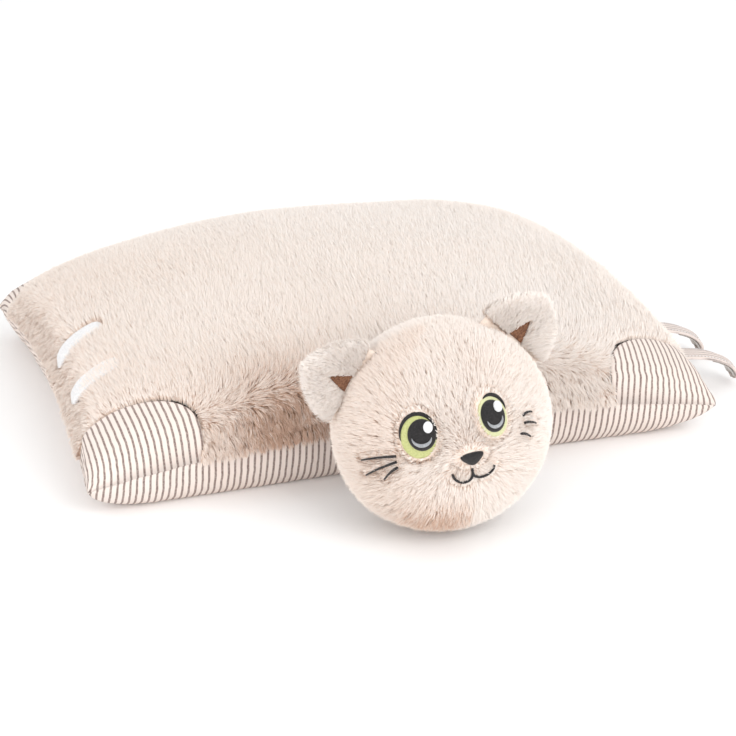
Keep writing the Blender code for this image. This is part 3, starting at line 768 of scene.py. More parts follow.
def band(y, span, half, thick, offset, rows=49, sides=40):
    """A closed band: its section is a flat superellipse carried along the strap."""
    t, turn = np.meshgrid(np.linspace(*span, rows), np.linspace(0, 2 * np.pi, sides, False),
                          indexing="ij")
    across = np.sign(np.cos(turn)) * np.abs(np.cos(turn)) ** 0.5
    height = thick / 2 * np.sign(np.sin(turn)) * np.abs(np.sin(turn)) ** 0.5
    points = strap_band(y, t, across, half, offset + height)
    cloth = np.stack([across * half, t * STRAP_REACH * 1.2], -1)
    middle = points.mean(1, keepdims=True)
    caps = [np.repeat(middle[:1], sides, 1), np.repeat(middle[-1:], sides, 1)]
    points = np.concatenate([caps[0], points, caps[1]])
    cloth = np.concatenate([cloth[:1], cloth, cloth[-1:]])
    return points, cloth


print("a strap stands out", STRAP_REACH, "m and drops", STRAP_DROP, "m")

# %% Sew the straps
for end in ENDS:
    y = (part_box(f"strap_{end}")[0].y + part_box(f"strap_{end}")[1].y) / 2
    body = f"strap_{end}"
    points, cloth = band(y, (0.0, 1.0), STRAP_HALF, STRAP_THICK, 0.0)
    strap = grid_piece(f"closure_strap_{end}", points, "strap_web", STRAP_TICKING, cloth, wrap=True)
    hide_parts(f"strap_{end}")
    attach(strap, body)
    pad_points, pad_cloth = band(y, HOOK_SPAN, STRAP_HALF * 0.72, 1.2 * MM,
                                 -STRAP_THICK / 2 - 0.7 * MM, 33, 24)
    pad = grid_piece(f"hook_tape_{end}", pad_points, "hook_tape", HOOK_TAPE, pad_cloth, wrap=True)
    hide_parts(f"hook_pad_{end}")
    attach(pad, body)
    t = np.linspace(0.06, 0.93, 120)
    for number, row in enumerate((-0.80, 0.80)):
        line = strap_band(y, t, row + 0 * t, STRAP_HALF, STRAP_THICK / 2 + 0.05 * MM + 0 * t)
        sewn = stitches(f"{body}_stitches_{number + 1}", line, 2.8 * MM, 0.25 * MM, "thread_white",
                        WHITE_THREAD)
        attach(sewn, body)
    print(strap.name, len(strap.data.polygons), "faces, two rows of stitches")

# %% [markdown]
# ## The head's form
#
# The head is a ball of stuffing, a little narrower from front to back, that lolls to one
# side. The backing lies under the pile, but it comes up to the surface round each patch of
# embroidery, where the real pile is shaved before the stitching. So the head needs to know
# how far any place on it is from the eyes, the nose and the thread lines.

# %% Head frame and face places
HEAD_CORNERS = [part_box("face_panel"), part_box("head_back_panel")]
HEAD_LOW = [min(box[0][k] for box in HEAD_CORNERS) for k in range(3)]
HEAD_HIGH = [max(box[1][k] for box in HEAD_CORNERS) for k in range(3)]
HEAD_CENTRE = (np.array(HEAD_LOW) + np.array(HEAD_HIGH)) / 2
HEAD_RADII = np.array([71.5, 64.5, 69.0]) * MM
HEAD_ROLL = math.radians(8.5)
HEAD_TURN = np.array(Matrix.Rotation(-HEAD_ROLL, 3, "Y"))
EYES = {"left": (-31.2, 20.5), "right": (14.7, 23.1)}    # degrees round and up
IRIS = {"left": (11.2 * MM, 13.4 * MM), "right": (9.8 * MM, 12.9 * MM)}
PUPIL = {"left": (8.8 * MM, 9.9 * MM), "right": (8.1 * MM, 10.2 * MM)}
GLINT = (2.9 * MM, 3.6 * MM)
GLINT_SHIFT = (4.4 * MM, 4.7 * MM)
LOOK = {"left": (2.4 * MM, 1.3 * MM), "right": (-0.4 * MM, 0.5 * MM)}
LID_TURNS = {"left": (190.0, -12.0), "right": (108.0, 5.0)}
LID_THICK = 2.5 * MM
LIGHT_TURNS = (-165.0, -15.0)
LIGHT_THICK = 2.3 * MM
NOSE_AT = (-3.0, 4.9)
NOSE = (7.0 * MM, 4.2 * MM)
MOUTH_TOP = (-4.0, -1.4)
MOUTH_ENDS = {"left": ((-15.0, -2.3), 5.6), "right": ((8.7, -3.3), 4.4)}
MOUTH_STEM = 2.6
WHISKERS = {
    "left": (((-43.9, 10.2), (-65.0, 5.0)),
             ((-43.9, 7.1), (-63.2, -3.2)),
             ((-43.6, 4.0), (-52.2, -3.8))),
    "right": (((33.8, 15.7), (41.3, 14.4)),
              ((33.3, 11.6), (42.1, 7.2)),
              ((28.8, 7.3), (35.4, 2.8))),
}
print("head centre:", HEAD_CENTRE.round(4), "rolled", round(math.degrees(HEAD_ROLL), 1))

# %% Places on the face
def to_world(points):
    """From the head's own frame, which lolls to one side, to the row frame."""
    return points @ HEAD_TURN.T + HEAD_CENTRE


def ball(azimuth, elevation, out=0.0):
    """Place on the head in its own frame, at angles in radians round and up from the
    front: a ray from the centre, stopped at the ellipsoid grown by out."""
    ray = np.stack([np.sin(azimuth) * np.cos(elevation), -np.cos(azimuth) * np.cos(elevation),
                    np.sin(elevation)], -1)
    radii = HEAD_RADII + (out[..., None] if isinstance(out, np.ndarray) else out)
    return ray / np.linalg.norm(ray / radii, axis=-1, keepdims=True)


def face_axes(azimuth, elevation):
    """A place on the face in degrees, with its side, up and outward directions."""
    middle = ball(np.radians(azimuth), np.radians(elevation))
    out = unit(middle / HEAD_RADII ** 2)
    side = unit(np.cross((0.0, 0.0, 1.0), out))
    return middle, side, np.cross(out, side), out


def on_face(axes, x, y, height):
    """A flat place beside a point of the face, pressed onto the head grown by height:
    the nearer root of the quadratic for a line against an ellipsoid."""
    middle, side, up, out = axes
    start = middle + x[..., None] * side + y[..., None] * up
    radii = HEAD_RADII + height[..., None]
    a = ((out / radii) ** 2).sum(-1)
    b = (start * out / radii ** 2).sum(-1)
    c = ((start / radii) ** 2).sum(-1) - 1
    return start + ((-b + np.sqrt(b * b - a * c)) / a)[..., None] * out


def sagging(start, end, sag, steps=24, power=1.0):
    """Degrees from start to end along a curve that dips by sag: a parabola raised to a
    power, which is half an ellipse where the power is one half."""
    share = (1 - np.cos(np.linspace(0, np.pi, steps))) / 2
    azimuth = start[0] + (end[0] - start[0]) * share
    dip = sag * (4 * share * (1 - share)) ** power
    elevation = start[1] + (end[1] - start[1]) * share - dip
    return np.stack([azimuth, elevation], -1)


print("front of the head:", to_world(ball(0.0, 0.0)).round(4))

# %% Lines of thread on the face
MOUTH_JOIN = (MOUTH_TOP[0], MOUTH_TOP[1] - MOUTH_STEM)
THREAD_LINES = {"mouth_stem": sagging(MOUTH_TOP, MOUTH_JOIN, 0.0, 8)}
for side in FLANKS:
    stop, sag = MOUTH_ENDS[side]
    THREAD_LINES[f"mouth_{side}"] = sagging(MOUTH_JOIN, stop, sag, power=0.5)
    for number, (start, stop) in enumerate(WHISKERS[side]):
        THREAD_LINES[f"whisker_{side}_{number + 1}"] = sagging(start, stop, -0.8)
THREAD_PLACES = ball(*np.radians(np.concatenate(list(THREAD_LINES.values()))).T)
print("points on the thread lines:", len(THREAD_PLACES))

# %% Distances on the face
def from_oval(points, axes, half_x, half_y, shift_y=0.0):
    """Rough distance outside an oval on the face, negative inside it, and far away on the
    other side of the head."""
    middle, side, up, out = axes
    away = points - middle
    x, y = away @ side / half_x, (away @ up - shift_y) / half_y
    reach = (np.sqrt(x * x + y * y) - 1) * min(half_x, half_y)
    return np.where(away @ out < -20 * MM, 1.0, reach)


def from_embroidery(points):
    """Distance to the nearest eye or nose."""
    reaches = [from_oval(points, face_axes(*NOSE_AT), 7.4 * MM, 4.4 * MM)]
    for side in FLANKS:
        half_x, half_y = IRIS[side]
        reaches.append(from_oval(points, face_axes(*EYES[side]), half_x + 0.9 * MM,
                                 half_y + 1.2 * MM, 0.5 * MM))
    return np.minimum.reduce(reaches)


def from_threads(points):
    """Distance to the nearest whisker or mouth line."""
    flat = points.reshape(-1, 3)
    nearest = np.full(len(flat), np.inf)
    for place in THREAD_PLACES:
        nearest = np.minimum(nearest, ((flat - place) ** 2).sum(-1))
    return np.sqrt(nearest).reshape(points.shape[:-1])


print("head at", [round(float(c), 4) for c in HEAD_CENTRE])
print(len(THREAD_LINES), "thread lines")

# %% Head backing
HEAD_PILE = 4.6 * MM       # the head's backing lies this far under the frame's surface


def head_backing(azimuth, elevation):
    """The head's ellipsoid drawn in by the pile, and raised to the embroidery."""
    surface = ball(azimuth, elevation)
    near_patch = 1 - ease(0.2 * MM, 3.0 * MM, from_embroidery(surface))
    near_line = 1 - ease(0.6 * MM, 4 * MM, from_threads(surface))
    rise = np.maximum(near_patch * (HEAD_PILE - 0.3 * MM), near_line * (HEAD_PILE - 1.3 * MM))
    return ball(azimuth, elevation, rise - HEAD_PILE)


azimuths, elevations = np.meshgrid(np.linspace(-np.pi, np.pi, 240, False),
                                   np.linspace(-np.pi / 2, np.pi / 2, 121), indexing="xy")
skin = to_world(head_backing(azimuths, elevations))
head = grid_piece("head_backing", skin, "plush", BACKING, wrap=True)
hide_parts("face_panel", "head_back_panel", "head_filling")
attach(head, "head")
print(head.name, len(head.data.polygons))

# %% [markdown]
# ## Embroidered eyes and nose
#
# Each patch of satin stitch is a thin cushion: flat on top, rounded down at its edge and
# closed underneath. A patch is an outline and a short profile from its middle to its edge,
# worked out flat and then pressed onto the curved face along one direction, layer over
# layer: iris, pupil, the grey light low in the pupil, and the white glint. The right iris
# is stitched in a paler green than the left one.

# %% Embroidered patches
LAYER = 1.3 * MM
THREAD_DEPTH = 1.0 * MM
PATCH_PROFILE = np.array([(0.0, 1.0), (0.25, 1.0), (0.5, 0.98), (0.75, 0.92), (0.90, 0.80),
                          (0.975, 0.52), (1.0, 0.10), (1.0, -0.35), (0.55, -0.35), (0.0, -0.35)])


def satin_patch(name, axes, outline_x, outline_y, centre, layer, finish, slot):
    """A patch of stitches inside an outline round a centre, pressed onto the face."""
    share, height = PATCH_PROFILE[:, 0][:, None], PATCH_PROFILE[:, 1][:, None]
    x = centre[0] + share * outline_x[None]
    y = centre[1] + share * outline_y[None]
    low = layer * LAYER + 0.1 * MM
    level = low + THREAD_DEPTH * (height + 0.12 * (1 - share ** 2)) + 0 * x
    points = to_world(on_face(axes, x, y, level))
    cloth = np.stack([y + 0.25 * x, x], -1)
    made = grid_piece(name, points, slot, finish, cloth, wrap=True)
    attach(made, "head")
    return made


def oval(half_x, half_y, steps=48):
    """An ellipse as two arrays."""
    turn = np.linspace(0, 2 * np.pi, steps, endpoint=False)
    return half_x * np.cos(turn), half_y * np.sin(turn)


print("a patch has", len(PATCH_PROFILE), "rings")

# %% Bows of stitches
def crescent(name, axes, centre, radii, turns, thick, layer, finish, slot, power=0.6):
    """A bow of stitches round a centre: a flat oval section carried along an ellipse,
    thick in its middle and drawn to points at both ends."""
    share, turn = np.meshgrid(np.linspace(0, 1, 41), np.linspace(0, 2 * np.pi, 12, False),
                              indexing="ij")
    round_eye = np.radians(turns[0] + (turns[1] - turns[0]) * share)
    swell = thick / 2 * np.sin(np.pi * share) ** power
    reach = swell * (1 + np.cos(turn))
    x = centre[0] + (radii[0] + reach) * np.cos(round_eye)
    y = centre[1] + (radii[1] + reach) * np.sin(round_eye)
    level = layer * LAYER + 0.35 * MM + 0.75 * MM * np.sin(turn) * np.sin(np.pi * share) ** 0.4
    points = to_world(on_face(axes, x, y, level))
    cloth = np.stack([round_eye * radii[0], reach], -1)
    made = grid_piece(name, points, slot, finish, cloth, wrap=True)
    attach(made, "head")
    return made


print("eyes at", EYES, "degrees round and up from the front")

# %% Sew the eyes
for side in FLANKS:
    axes = face_axes(*EYES[side])
    look_x, look_y = LOOK[side]
    half_x, half_y = PUPIL[side]
    eye = f"eye_{side}"
    iris = satin_patch(f"{eye}_iris_stitches", axes, *oval(*IRIS[side]), (0, 0), 0,
                       IRIS_THREADS[side], "thread_green")
    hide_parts(f"{eye}_iris")
    pupil = satin_patch(f"{eye}_pupil_stitches", axes, *oval(half_x, half_y), (look_x, look_y),
                        1, BLACK_THREAD, "thread_black")
    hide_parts(f"{eye}_pupil")
    glint = satin_patch(f"{eye}_glint_stitches", axes, *oval(*GLINT, 24),
                        (look_x + GLINT_SHIFT[0], look_y + GLINT_SHIFT[1]), 2, WHITE_THREAD,
                        "thread_white")
    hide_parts(f"{eye}_glint")
    lid = crescent(f"{eye}_lid_stitches", axes, (0, 0),
                   (IRIS[side][0] - 0.3 * MM, IRIS[side][1] - 0.3 * MM), LID_TURNS[side],
                   LID_THICK, 0.2, BLACK_THREAD, "thread_black")
    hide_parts(f"{eye}_lid")
    crescent(f"{eye}_low_light", axes, (look_x, look_y),
             (half_x - 2.6 * MM, half_y - 4.6 * MM), LIGHT_TURNS, LIGHT_THICK, 1.72, GREY_THREAD,
             "thread_white", power=0.8)
    print(eye, "five patches")


# %% Sew the nose
turn = np.linspace(0, 2 * np.pi, 48, endpoint=False)
narrowing = 1 + 0.38 * np.sin(turn)
nose = satin_patch("nose_stitches", face_axes(*NOSE_AT), NOSE[0] * np.cos(turn) * narrowing,
                   NOSE[1] * np.sin(turn) * (1 - 0.18 * np.sin(turn)), (0, 0), 0.3,
                   BLACK_THREAD, "thread_black")
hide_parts("nose")
print(nose.name, len(nose.data.polygons))

# %% [markdown]
# ## Mouth and whiskers
#
# These are single lines of tight zigzag stitches, which read as a cord lying on the pile.
# A tube follows each line over the face. Its radius swells a little at every stitch, and a
# whisker thins towards its outer end.

# %% Thread lines
THREAD = 0.85 * MM


def thread_line(name, degrees, taper):
    """A stitched cord over the face, a little thicker at each stitch."""
    steps = 72
    share = np.linspace(0, 1, steps)
    old = np.linspace(0, 1, len(degrees))
    azimuth = np.radians(np.interp(share, old, degrees[:, 0]))
    elevation = np.radians(np.interp(share, old, degrees[:, 1]))
    path = to_world(ball(azimuth, elevation, 0.75 * MM + 0 * share))
    along = np.linalg.norm(np.diff(path, axis=0), axis=1).sum() * share
    radius = THREAD * (1 - taper * share ** 2) * (1 + 0.10 * np.sin(along * 2 * np.pi / (1.1 * MM)))
    rings = tube(path, radius, sides=10)
    made = join(name, [rings], "thread_black", BLACK_THREAD)
    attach(made, "head")
    return made


mouth = {name: thread_line(f"{name}_stitches", degrees, 0.45 if "whisker" in name else 0.1)
         for name, degrees in THREAD_LINES.items()}
for name, line in mouth.items():
    if name != "mouth_stem":
        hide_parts(name)
print(len(mouth), "thread lines")

# %% [markdown]
# ## Ears and neck
#
# An ear is a flat bag of plush, a rounded triangle that cups a little forwards, with a
# small brown velour lining low in its front. It is a stack of ovals, each as wide as the
# outline at its height. The neck is only the gathered seam that holds the head: a short
# knot with folds, which shows when the head turns.

# %% An ear and its lining
EAR_TILT = math.radians(52.0)
EAR_WIDTH = 50 * MM
EAR_HEIGHT = 29 * MM
EAR_THICK = 9 * MM
EAR_BACK = 4 * MM
EAR_FOOT = 7 * MM
EAR_CUP = 2.6 * MM
LINING_HALF = 0.125 * EAR_WIDTH
LINING_HIGH = 0.55 * EAR_HEIGHT


def ear_axes(sign):
    """Where an ear stands on the head, and its side, depth and up directions."""
    crown = np.array([sign * math.sin(EAR_TILT), 0.0, math.cos(EAR_TILT)])
    reach = 1 / math.hypot(crown[0] / HEAD_RADII[0], crown[2] / HEAD_RADII[2])
    side = np.array([math.cos(EAR_TILT), 0.0, -sign * math.sin(EAR_TILT)])
    return crown * reach + (0, EAR_BACK, 0), side, np.array([0.0, 1.0, 0.0]), crown


def from_ear(sign, points):
    """From an ear's own frame to the row frame."""
    foot, side, depth, up = ear_axes(sign)
    return to_world(foot + points[..., :1] * side + points[..., 1:2] * depth + points[..., 2:] * up)


def ear_bag(turn, height):
    """The ear's surface: half its width shrinks as the outline does with height, its
    thickness thins to the rim, and its front is cupped."""
    level = np.clip(height / EAR_HEIGHT, 0, 1)
    half = EAR_WIDTH / 2 * np.maximum(0, 1 - level ** 1.35) ** 0.62
    thick = EAR_THICK / 2 * np.maximum(0, 1 - level ** 3) ** 0.5
    front = np.sin(turn) > 0
    across = np.cos(turn)
    cup = np.where(front, EAR_CUP * (1 - across ** 2) * (1 - level ** 2), 0)
    depth = -thick * np.sign(np.sin(turn)) * np.abs(np.sin(turn)) ** 0.8 + cup
    return np.stack([half * across, depth, height], -1)


def ear_lining(across, height):
    """A small triangle with bowed sides, low in the cupped front of the ear."""
    level = np.clip(height / LINING_HIGH, 0, 1)
    half = LINING_HALF * (1 - level) ** 0.8
    depth = -EAR_THICK / 2 + EAR_CUP * (1 - (across * half / (EAR_WIDTH / 2)) ** 2) - 0.9 * MM
    return np.stack([half * across, depth + 0 * height, height], -1)


print("an ear is", EAR_WIDTH, "m wide and", EAR_HEIGHT, "m high")

# %% Sew the ears
for side, sign in FLANKS.items():
    turn, level = np.meshgrid(np.linspace(0, 2 * np.pi, 56, False),
                              1 - (1 - np.linspace(0, 1, 37)) ** 2, indexing="xy")
    bag = ear_bag(turn, -EAR_FOOT + (EAR_HEIGHT + EAR_FOOT) * level)
    foot = np.repeat(bag[:1].mean(1, keepdims=True), 56, 1)
    ear = grid_piece(f"ear_{side}_backing", from_ear(sign, np.concatenate([foot, bag])), "plush",
                     BACKING, wrap=True)
    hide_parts(f"ear_{side}")
    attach(ear, f"ear_{side}")
    across, height = np.meshgrid(np.linspace(-1, 1, 21), np.linspace(1 * MM, LINING_HIGH, 25),
                                 indexing="xy")
    lining = grid_piece(f"ear_{side}_velour", from_ear(sign, ear_lining(across, height)),
                        "ear_lining", LINING)
    thicken(lining, 0.9 * MM)
    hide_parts(f"ear_{side}_lining")
    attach(lining, f"ear_{side}")
    print(ear.name, len(ear.data.polygons), lining.name, len(lining.data.polygons))

# %% Gathered neck
neck_low, neck_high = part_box("neck_gather")
NECK = (np.array(neck_low) + np.array(neck_high)) / 2
NECK_RADIUS = (neck_high.x - neck_low.x) / 2
turn, lean = np.meshgrid(np.linspace(0, 2 * np.pi, 96, False), np.linspace(0, np.pi, 33),
                         indexing="xy")
fold = 1 + 0.09 * np.sin(11 * turn + 1.5 * np.cos(lean)) * np.sin(lean) ** 2
knot = NECK_RADIUS * np.stack([np.sin(lean) * np.cos(turn) * fold, -np.cos(lean),
                               np.sin(lean) * np.sin(turn) * fold], -1)
neck = grid_piece("neck_folds", knot + NECK, "plush", BACKING, wrap=True)
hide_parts("neck_gather")
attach(neck, "neck")
print(neck.name, len(neck.data.polygons))

# %% [markdown]
# ## The pile
#
# Long plush is what makes the toy: fibres about ten millimetres long that lean, and that
# gather at their tips into tufts. Particle hair is not a mesh, so each tuft of fibres is
# made here as a blade of three triangles that leans, bends and ends in a point. A blade is
# as wide as a few fibres, its flat side faces out as the nap of real plush does, and its
# tip is drawn towards the middle of its tuft. The root of a blade is a warmer, deeper
# shade than its tip, as painted shade for the depth of the pile. Each blade takes one of
# several shades by its tone. The tone varies at random as the dye of real fibre does, and
# it also carries painted shade and a painted shadow where the code below darkens it.

# %% How pile is grown
PILE_SHARE = 1.0
MOST_BLADES = 64000        # in one piece, which keeps it under 200,000 triangles
TUFT_SEED = 7
TABLE_GAP = 0.25 * MM      # no blade comes nearer to the table than this


def chance(cells, seed):
    """Three repeatable numbers from 0 to 1 for each cell of a lattice: the fraction of a
    large sine of its place."""
    mixing = np.array([[127.1, 269.5, 419.2], [311.7, 183.3, 371.9], [74.7, 246.1, 124.6]])
    return np.modf(np.abs(np.sin(cells @ mixing + seed) * 43758.5453))[0]


def to_tuft(points, size, seed):
    """From each point to the middle of its tuft: the nearest of the centres that are
    scattered one to a cell, looked for in the 27 cells around it."""
    cell = np.floor(points / size)
    least = np.full(len(points), np.inf)
    way = np.zeros_like(points)
    for step in np.ndindex(3, 3, 3):
        there = cell + np.array(step) - 1
        away = (there + chance(there, seed)) * size - points
        reach = (away ** 2).sum(1)
        closer = reach < least
        least[closer] = reach[closer]
        way[closer] = away[closer]
    return way


print("share of the pile that is grown:", PILE_SHARE)

# %% Where pile grows
def scatter(form, us, vs, count, rng, wanted=None):
    """Grid places spread evenly over a surface: a cell is drawn by its area, times how
    much pile is wanted there, and then a place inside it."""
    points = form(*np.meshgrid(us, vs, indexing="ij"))
    down, along = points[1:, :-1] - points[:-1, :-1], points[:-1, 1:] - points[:-1, :-1]
    area = np.linalg.norm(np.cross(down, along), axis=-1)
    if wanted is not None:
        area = area * wanted(*np.meshgrid((us[1:] + us[:-1]) / 2, (vs[1:] + vs[:-1]) / 2,
                                          indexing="ij"))
    pick = rng.choice(area.size, count, p=area.ravel() / area.sum())
    i, j = np.unravel_index(pick, area.shape)
    return (us[i] + rng.random(count) * (us[i + 1] - us[i]),
            vs[j] + rng.random(count) * (vs[j + 1] - vs[j]))


def roots_on(form, u, v, outside, step=1e-3):
    """Places on a surface and their normals, from small steps both ways, turned to the
    side that outside points to."""
    points = form(u, v)
    normal = unit(np.cross(form(u + step, v) - form(u - step, v),
                           form(u, v + step) - form(u, v - step)))
    wrong = (normal * outside(points)).sum(-1) < 0
    normal[wrong] *= -1
    return points, normal


print("sampling tools:", scatter.__name__, roots_on.__name__)

# %% Blades
def pile(name, roots, normal, comb, length, width, tone, tuft, pull, rng):
    """Pieces of pile. Each blade leaves its root near the normal, then leans with the
    comb, and its tip is drawn to its tuft by a share pull."""
    count = len(roots)
    wander = rng.normal(size=(count, 3))
    gather = lie_flat(to_tuft(roots, tuft, TUFT_SEED), normal) * pull[:, None]
    low = unit(normal + 0.55 * comb + 0.10 * wander)
    high = unit(0.38 * normal + 0.95 * comb + 0.14 * wander)
    middle = roots + low * length[:, None] * 0.5 + gather * 0.35
    tip = middle + high * length[:, None] * 0.5 + gather * 0.5
    side = unit(np.cross(high, normal) + 0.20 * rng.normal(size=(count, 3)))
    half = side * width[:, None] / 2
    corners = np.stack([roots - half, roots + half, middle - half * 0.8, middle + half * 0.8,
                        tip], 1)
    corners[..., 2] = np.maximum(corners[..., 2], TABLE_GAP)
    # Each tip takes a shade by its tone, and each root a deeper one: painted shade for the depth of
    # the pile.
    shades = np.clip((tone * len(TIPS)).astype(int), 0, len(TIPS) - 1)
    root_painted_shade = len(TIPS) + np.clip((tone * len(ROOT_PAINTED_SHADES)).astype(int), 0, len(ROOT_PAINTED_SHADES) - 1)
    made = []
    for number, start in enumerate(range(0, count, MOST_BLADES)):
        part = slice(start, min(start + MOST_BLADES, count))
        size = part.stop - part.start
        first = 5 * np.arange(size)[:, None, None]
        faces = (first + np.array([[0, 1, 3], [0, 3, 2], [2, 3, 4]])).reshape(-1, 3)
        mesh = fill_mesh(f"{name}_{number + 1}", corners[part].reshape(-1, 3), faces)
        which = np.stack([root_painted_shade[part], root_painted_shade[part], shades[part]], 1)
        mesh.polygons.foreach_set("material_index", which.ravel().astype(np.int32))
        made.append(piece(mesh.name, mesh, TIPS + ROOT_PAINTED_SHADES))
    return made


print("at most", MOST_BLADES, "blades in a piece")

# %% Shades of the fibre
def fibre(name, *colour):
    """Polyester fibre of one colour: dull, with a soft sheen along its edges."""
    return Finish(name, colour, 0.9, sheen=0.25).material


TIPS = [fibre("fibre_white", 0.88, 0.83, 0.79), fibre("fibre_cream", 0.87, 0.80, 0.745),
        fibre("fibre_beige", 0.85, 0.755, 0.685), fibre("fibre_sand", 0.80, 0.67, 0.585),
        fibre("fibre_tan", 0.66, 0.46, 0.35)]
# The root shades are painted shade: the warm dark deep in the pile, a little darker than the tips.
ROOT_PAINTED_SHADES = [fibre("fibre_root_painted_shade_pale", 0.87, 0.775, 0.705),
         fibre("fibre_root_painted_shade_warm", 0.81, 0.67, 0.575),
         fibre("fibre_root_painted_shade_deep", 0.55, 0.355, 0.25)]
print("pile in", len(TIPS), "tip and", len(ROOT_PAINTED_SHADES), "root shades")

# %% [markdown]
# ## Pile on the pillow
#
# The pile is combed down the sides, so that it hangs over the edge seam, and back in soft
# swirls on top. Along the front crest it lies aside, so that it turns from one way to the
# other without a parting. None grows on the striped paws or the loop tape, though the pile
# beside the front tape leans over most of it. A painted shadow of the head, in the tan
# shades, lies where the head presses on the front of the pillow, and the steep walls
# carry painted shade.

# %% Where the pillow's pile grows
BODY_BLADES = 380000
BODY_PILE = 10.0 * MM
PAW_OVERLAP = 3.0 * MM     # the pile starts this far inside a paw's arch
BARE_BESIDE = {            # half the bare strip's width, on its near and far side
    "loop_patch_front": (2.4 * MM, 0.6 * MM),
    "loop_patch_back": (12.0 * MM, 9.0 * MM),
}
# Middle and spread of the painted shadow of the head, in tan, on the front of the pillow.
HEAD_SHADOW_SPOT = (-0.083, -0.168, 0.052)
HEAD_SHADOW_SPREAD = (0.040, 0.05, 0.032)
OVER = np.array([0.0, 0.8, 0.0])
DOWN = np.array([0.0, 0.0, -1.6])
ASIDE = np.array([1.1, 0.0, 0.0])


def on_tape(x, y):
    """True on a loop patch, and on its near side, where pile would lean over it: the back
    one is open, and the pile covers most of the front one."""
    covered = np.zeros(np.shape(x), bool)
    for name, (low, high, middle) in PATCH_SPAN.items():
        near, far = BARE_BESIDE[name]
        reach = (x - (low + high) / 2) / ((high - low) / 2)
        across = (y - middle) / np.where(y < middle, near, far)
        inside = np.abs(across) < np.sqrt(np.maximum(0, 1 - np.abs(reach) ** PATCH_SQUARENESS))
        covered |= inside & (np.abs(reach) < 1)
    return covered


def pile_wanted(u, v):
    """None on the paws or the tape."""
    return (inside_paw(u, v, -PAW_OVERLAP) > 1) & ~on_tape(*plan(u, v))


print("pile starts", PAW_OVERLAP, "m inside a paw")

# %% Grow the pillow's pile
rng = np.random.default_rng(20)
for side, sign in FLANKS.items():
    us = spread(260, 0, 1) if sign > 0 else spread(260, -1, 0)
    vs = spread(400)
    u, v = scatter(backing, us, vs, int(BODY_BLADES / 2 * PILE_SHARE), rng, pile_wanted)
    keep = pile_wanted(u, v)
    u, v = u[keep], v[keep]
    points, normal = roots_on(backing, u, v, lambda p: p - (0, 0, 20 * MM))
    swirl = swirls(points, 0.11, 1, 2, 3)
    steep = ease(0.05, 0.75, 1 - normal[:, 2:3])
    front = np.clip(-unit(normal[:, :2])[:, 1:2], 0, 1) ** 2
    comb = OVER * (1 - steep) + DOWN * steep + ASIDE * 4 * steep * (1 - steep) * front
    comb = comb + 0.15 * swirl
    comb = lie_flat(comb, normal)
    comb = unit(comb) * np.minimum(1, np.linalg.norm(comb, axis=1, keepdims=True) * 1.3)
    near_seam = ease(0.0, 12 * MM, points[:, 2] - seam_height(u, v))
    edge = ease(1.0, 1.6, inside_paw(u, v, -PAW_OVERLAP))
    length = BODY_PILE * rng.uniform(0.82, 1.10, len(u)) * (0.80 + 0.20 * near_seam)
    length *= (0.72 + 0.28 * edge) * (1 - 0.30 * ease(0.93, 0.99, -u))
    # Painted shadow of the head: the tone rises to the tan shades where the head presses on the
    # front of the pillow.
    from_head_shadow = np.linalg.norm((points - HEAD_SHADOW_SPOT) / HEAD_SHADOW_SPREAD, axis=1)
    warm = 0.62 * np.exp(-from_head_shadow ** 2)
    # Painted shade: the steep walls of the pillow take a darker tone than its top.
    tone = 0.20 + 0.08 * ripple(points, 0.16, 5) + 0.12 * steep[:, 0] + warm
    tone = tone + 0.20 * ease(0.0, 0.9, -u)
    tone = tone + 0.05 * ripple(points, 0.008, 6)
    tone = tone + rng.normal(0, 1.0, len(u)) * (0.06 + 0.22 * warm)
    pull = 0.20 + 0.20 * steep[:, 0]
    width = rng.uniform(0.42, 0.70, len(u)) * MM
    for tufts in pile(f"body_pile_{side}", points, normal, comb, length, width, tone, 7 * MM,
                      pull, rng):
        bend_over_fold(tufts)
        print(tufts.name, len(tufts.data.polygons))

# %% [markdown]
# ## Pile on the head and ears
#
# On the face the pile runs outwards from the nose, and it is shaved short round the
# embroidery. On the crown and the back it runs back and down. The chin lies on the table,
# so no blade goes below it. The left cheek, under the whiskers, is a shade browner up to
# the seam in the middle of the chin: painted shade under the head. The left side of the
# head is a little darker too, as painted shade.

# %% Grow the head's pile
HEAD_BLADES = 150000
HEAD_FUR = 7.8 * MM


def fur_wanted(azimuth, elevation):
    """None where there is embroidery."""
    return (from_embroidery(ball(azimuth, elevation)) > -0.2 * MM) * 1.0


rng = np.random.default_rng(21)
rounds, heights = np.linspace(-np.pi, np.pi, 361), np.linspace(-np.pi / 2, np.pi / 2, 181)
azimuth, elevation = scatter(head_backing, rounds, heights, int(HEAD_BLADES * PILE_SHARE), rng,
                             fur_wanted)
local, normal = roots_on(head_backing, azimuth, elevation, lambda p: p)
shaved = ease(-0.2 * MM, 3.5 * MM, from_embroidery(ball(azimuth, elevation)))
threaded = ease(0.6 * MM, 3.5 * MM, from_threads(ball(azimuth, elevation)))
away = local - ball(np.radians(NOSE_AT[0]), np.radians(NOSE_AT[1]))
comb = unit(away) + np.array([0.0, 0.35, 0.0])
comb += 0.35 * swirls(local, 0.05, 11, 12, 13)
comb = unit(lie_flat(comb, normal)) * 0.95
fuller = np.exp(-((azimuth + 1.15) / 0.45) ** 2 - ((elevation + 0.45) / 0.35) ** 2)
slimmer = ease(0.5, 1.2, azimuth) * (1 - ease(1.8, 2.4, azimuth))
length = (HEAD_FUR + 2.0 * MM * fuller - 1.3 * MM * slimmer) * rng.uniform(0.82, 1.12, len(local))
length *= (0.42 + 0.58 * shaved) * (0.45 + 0.55 * threaded)
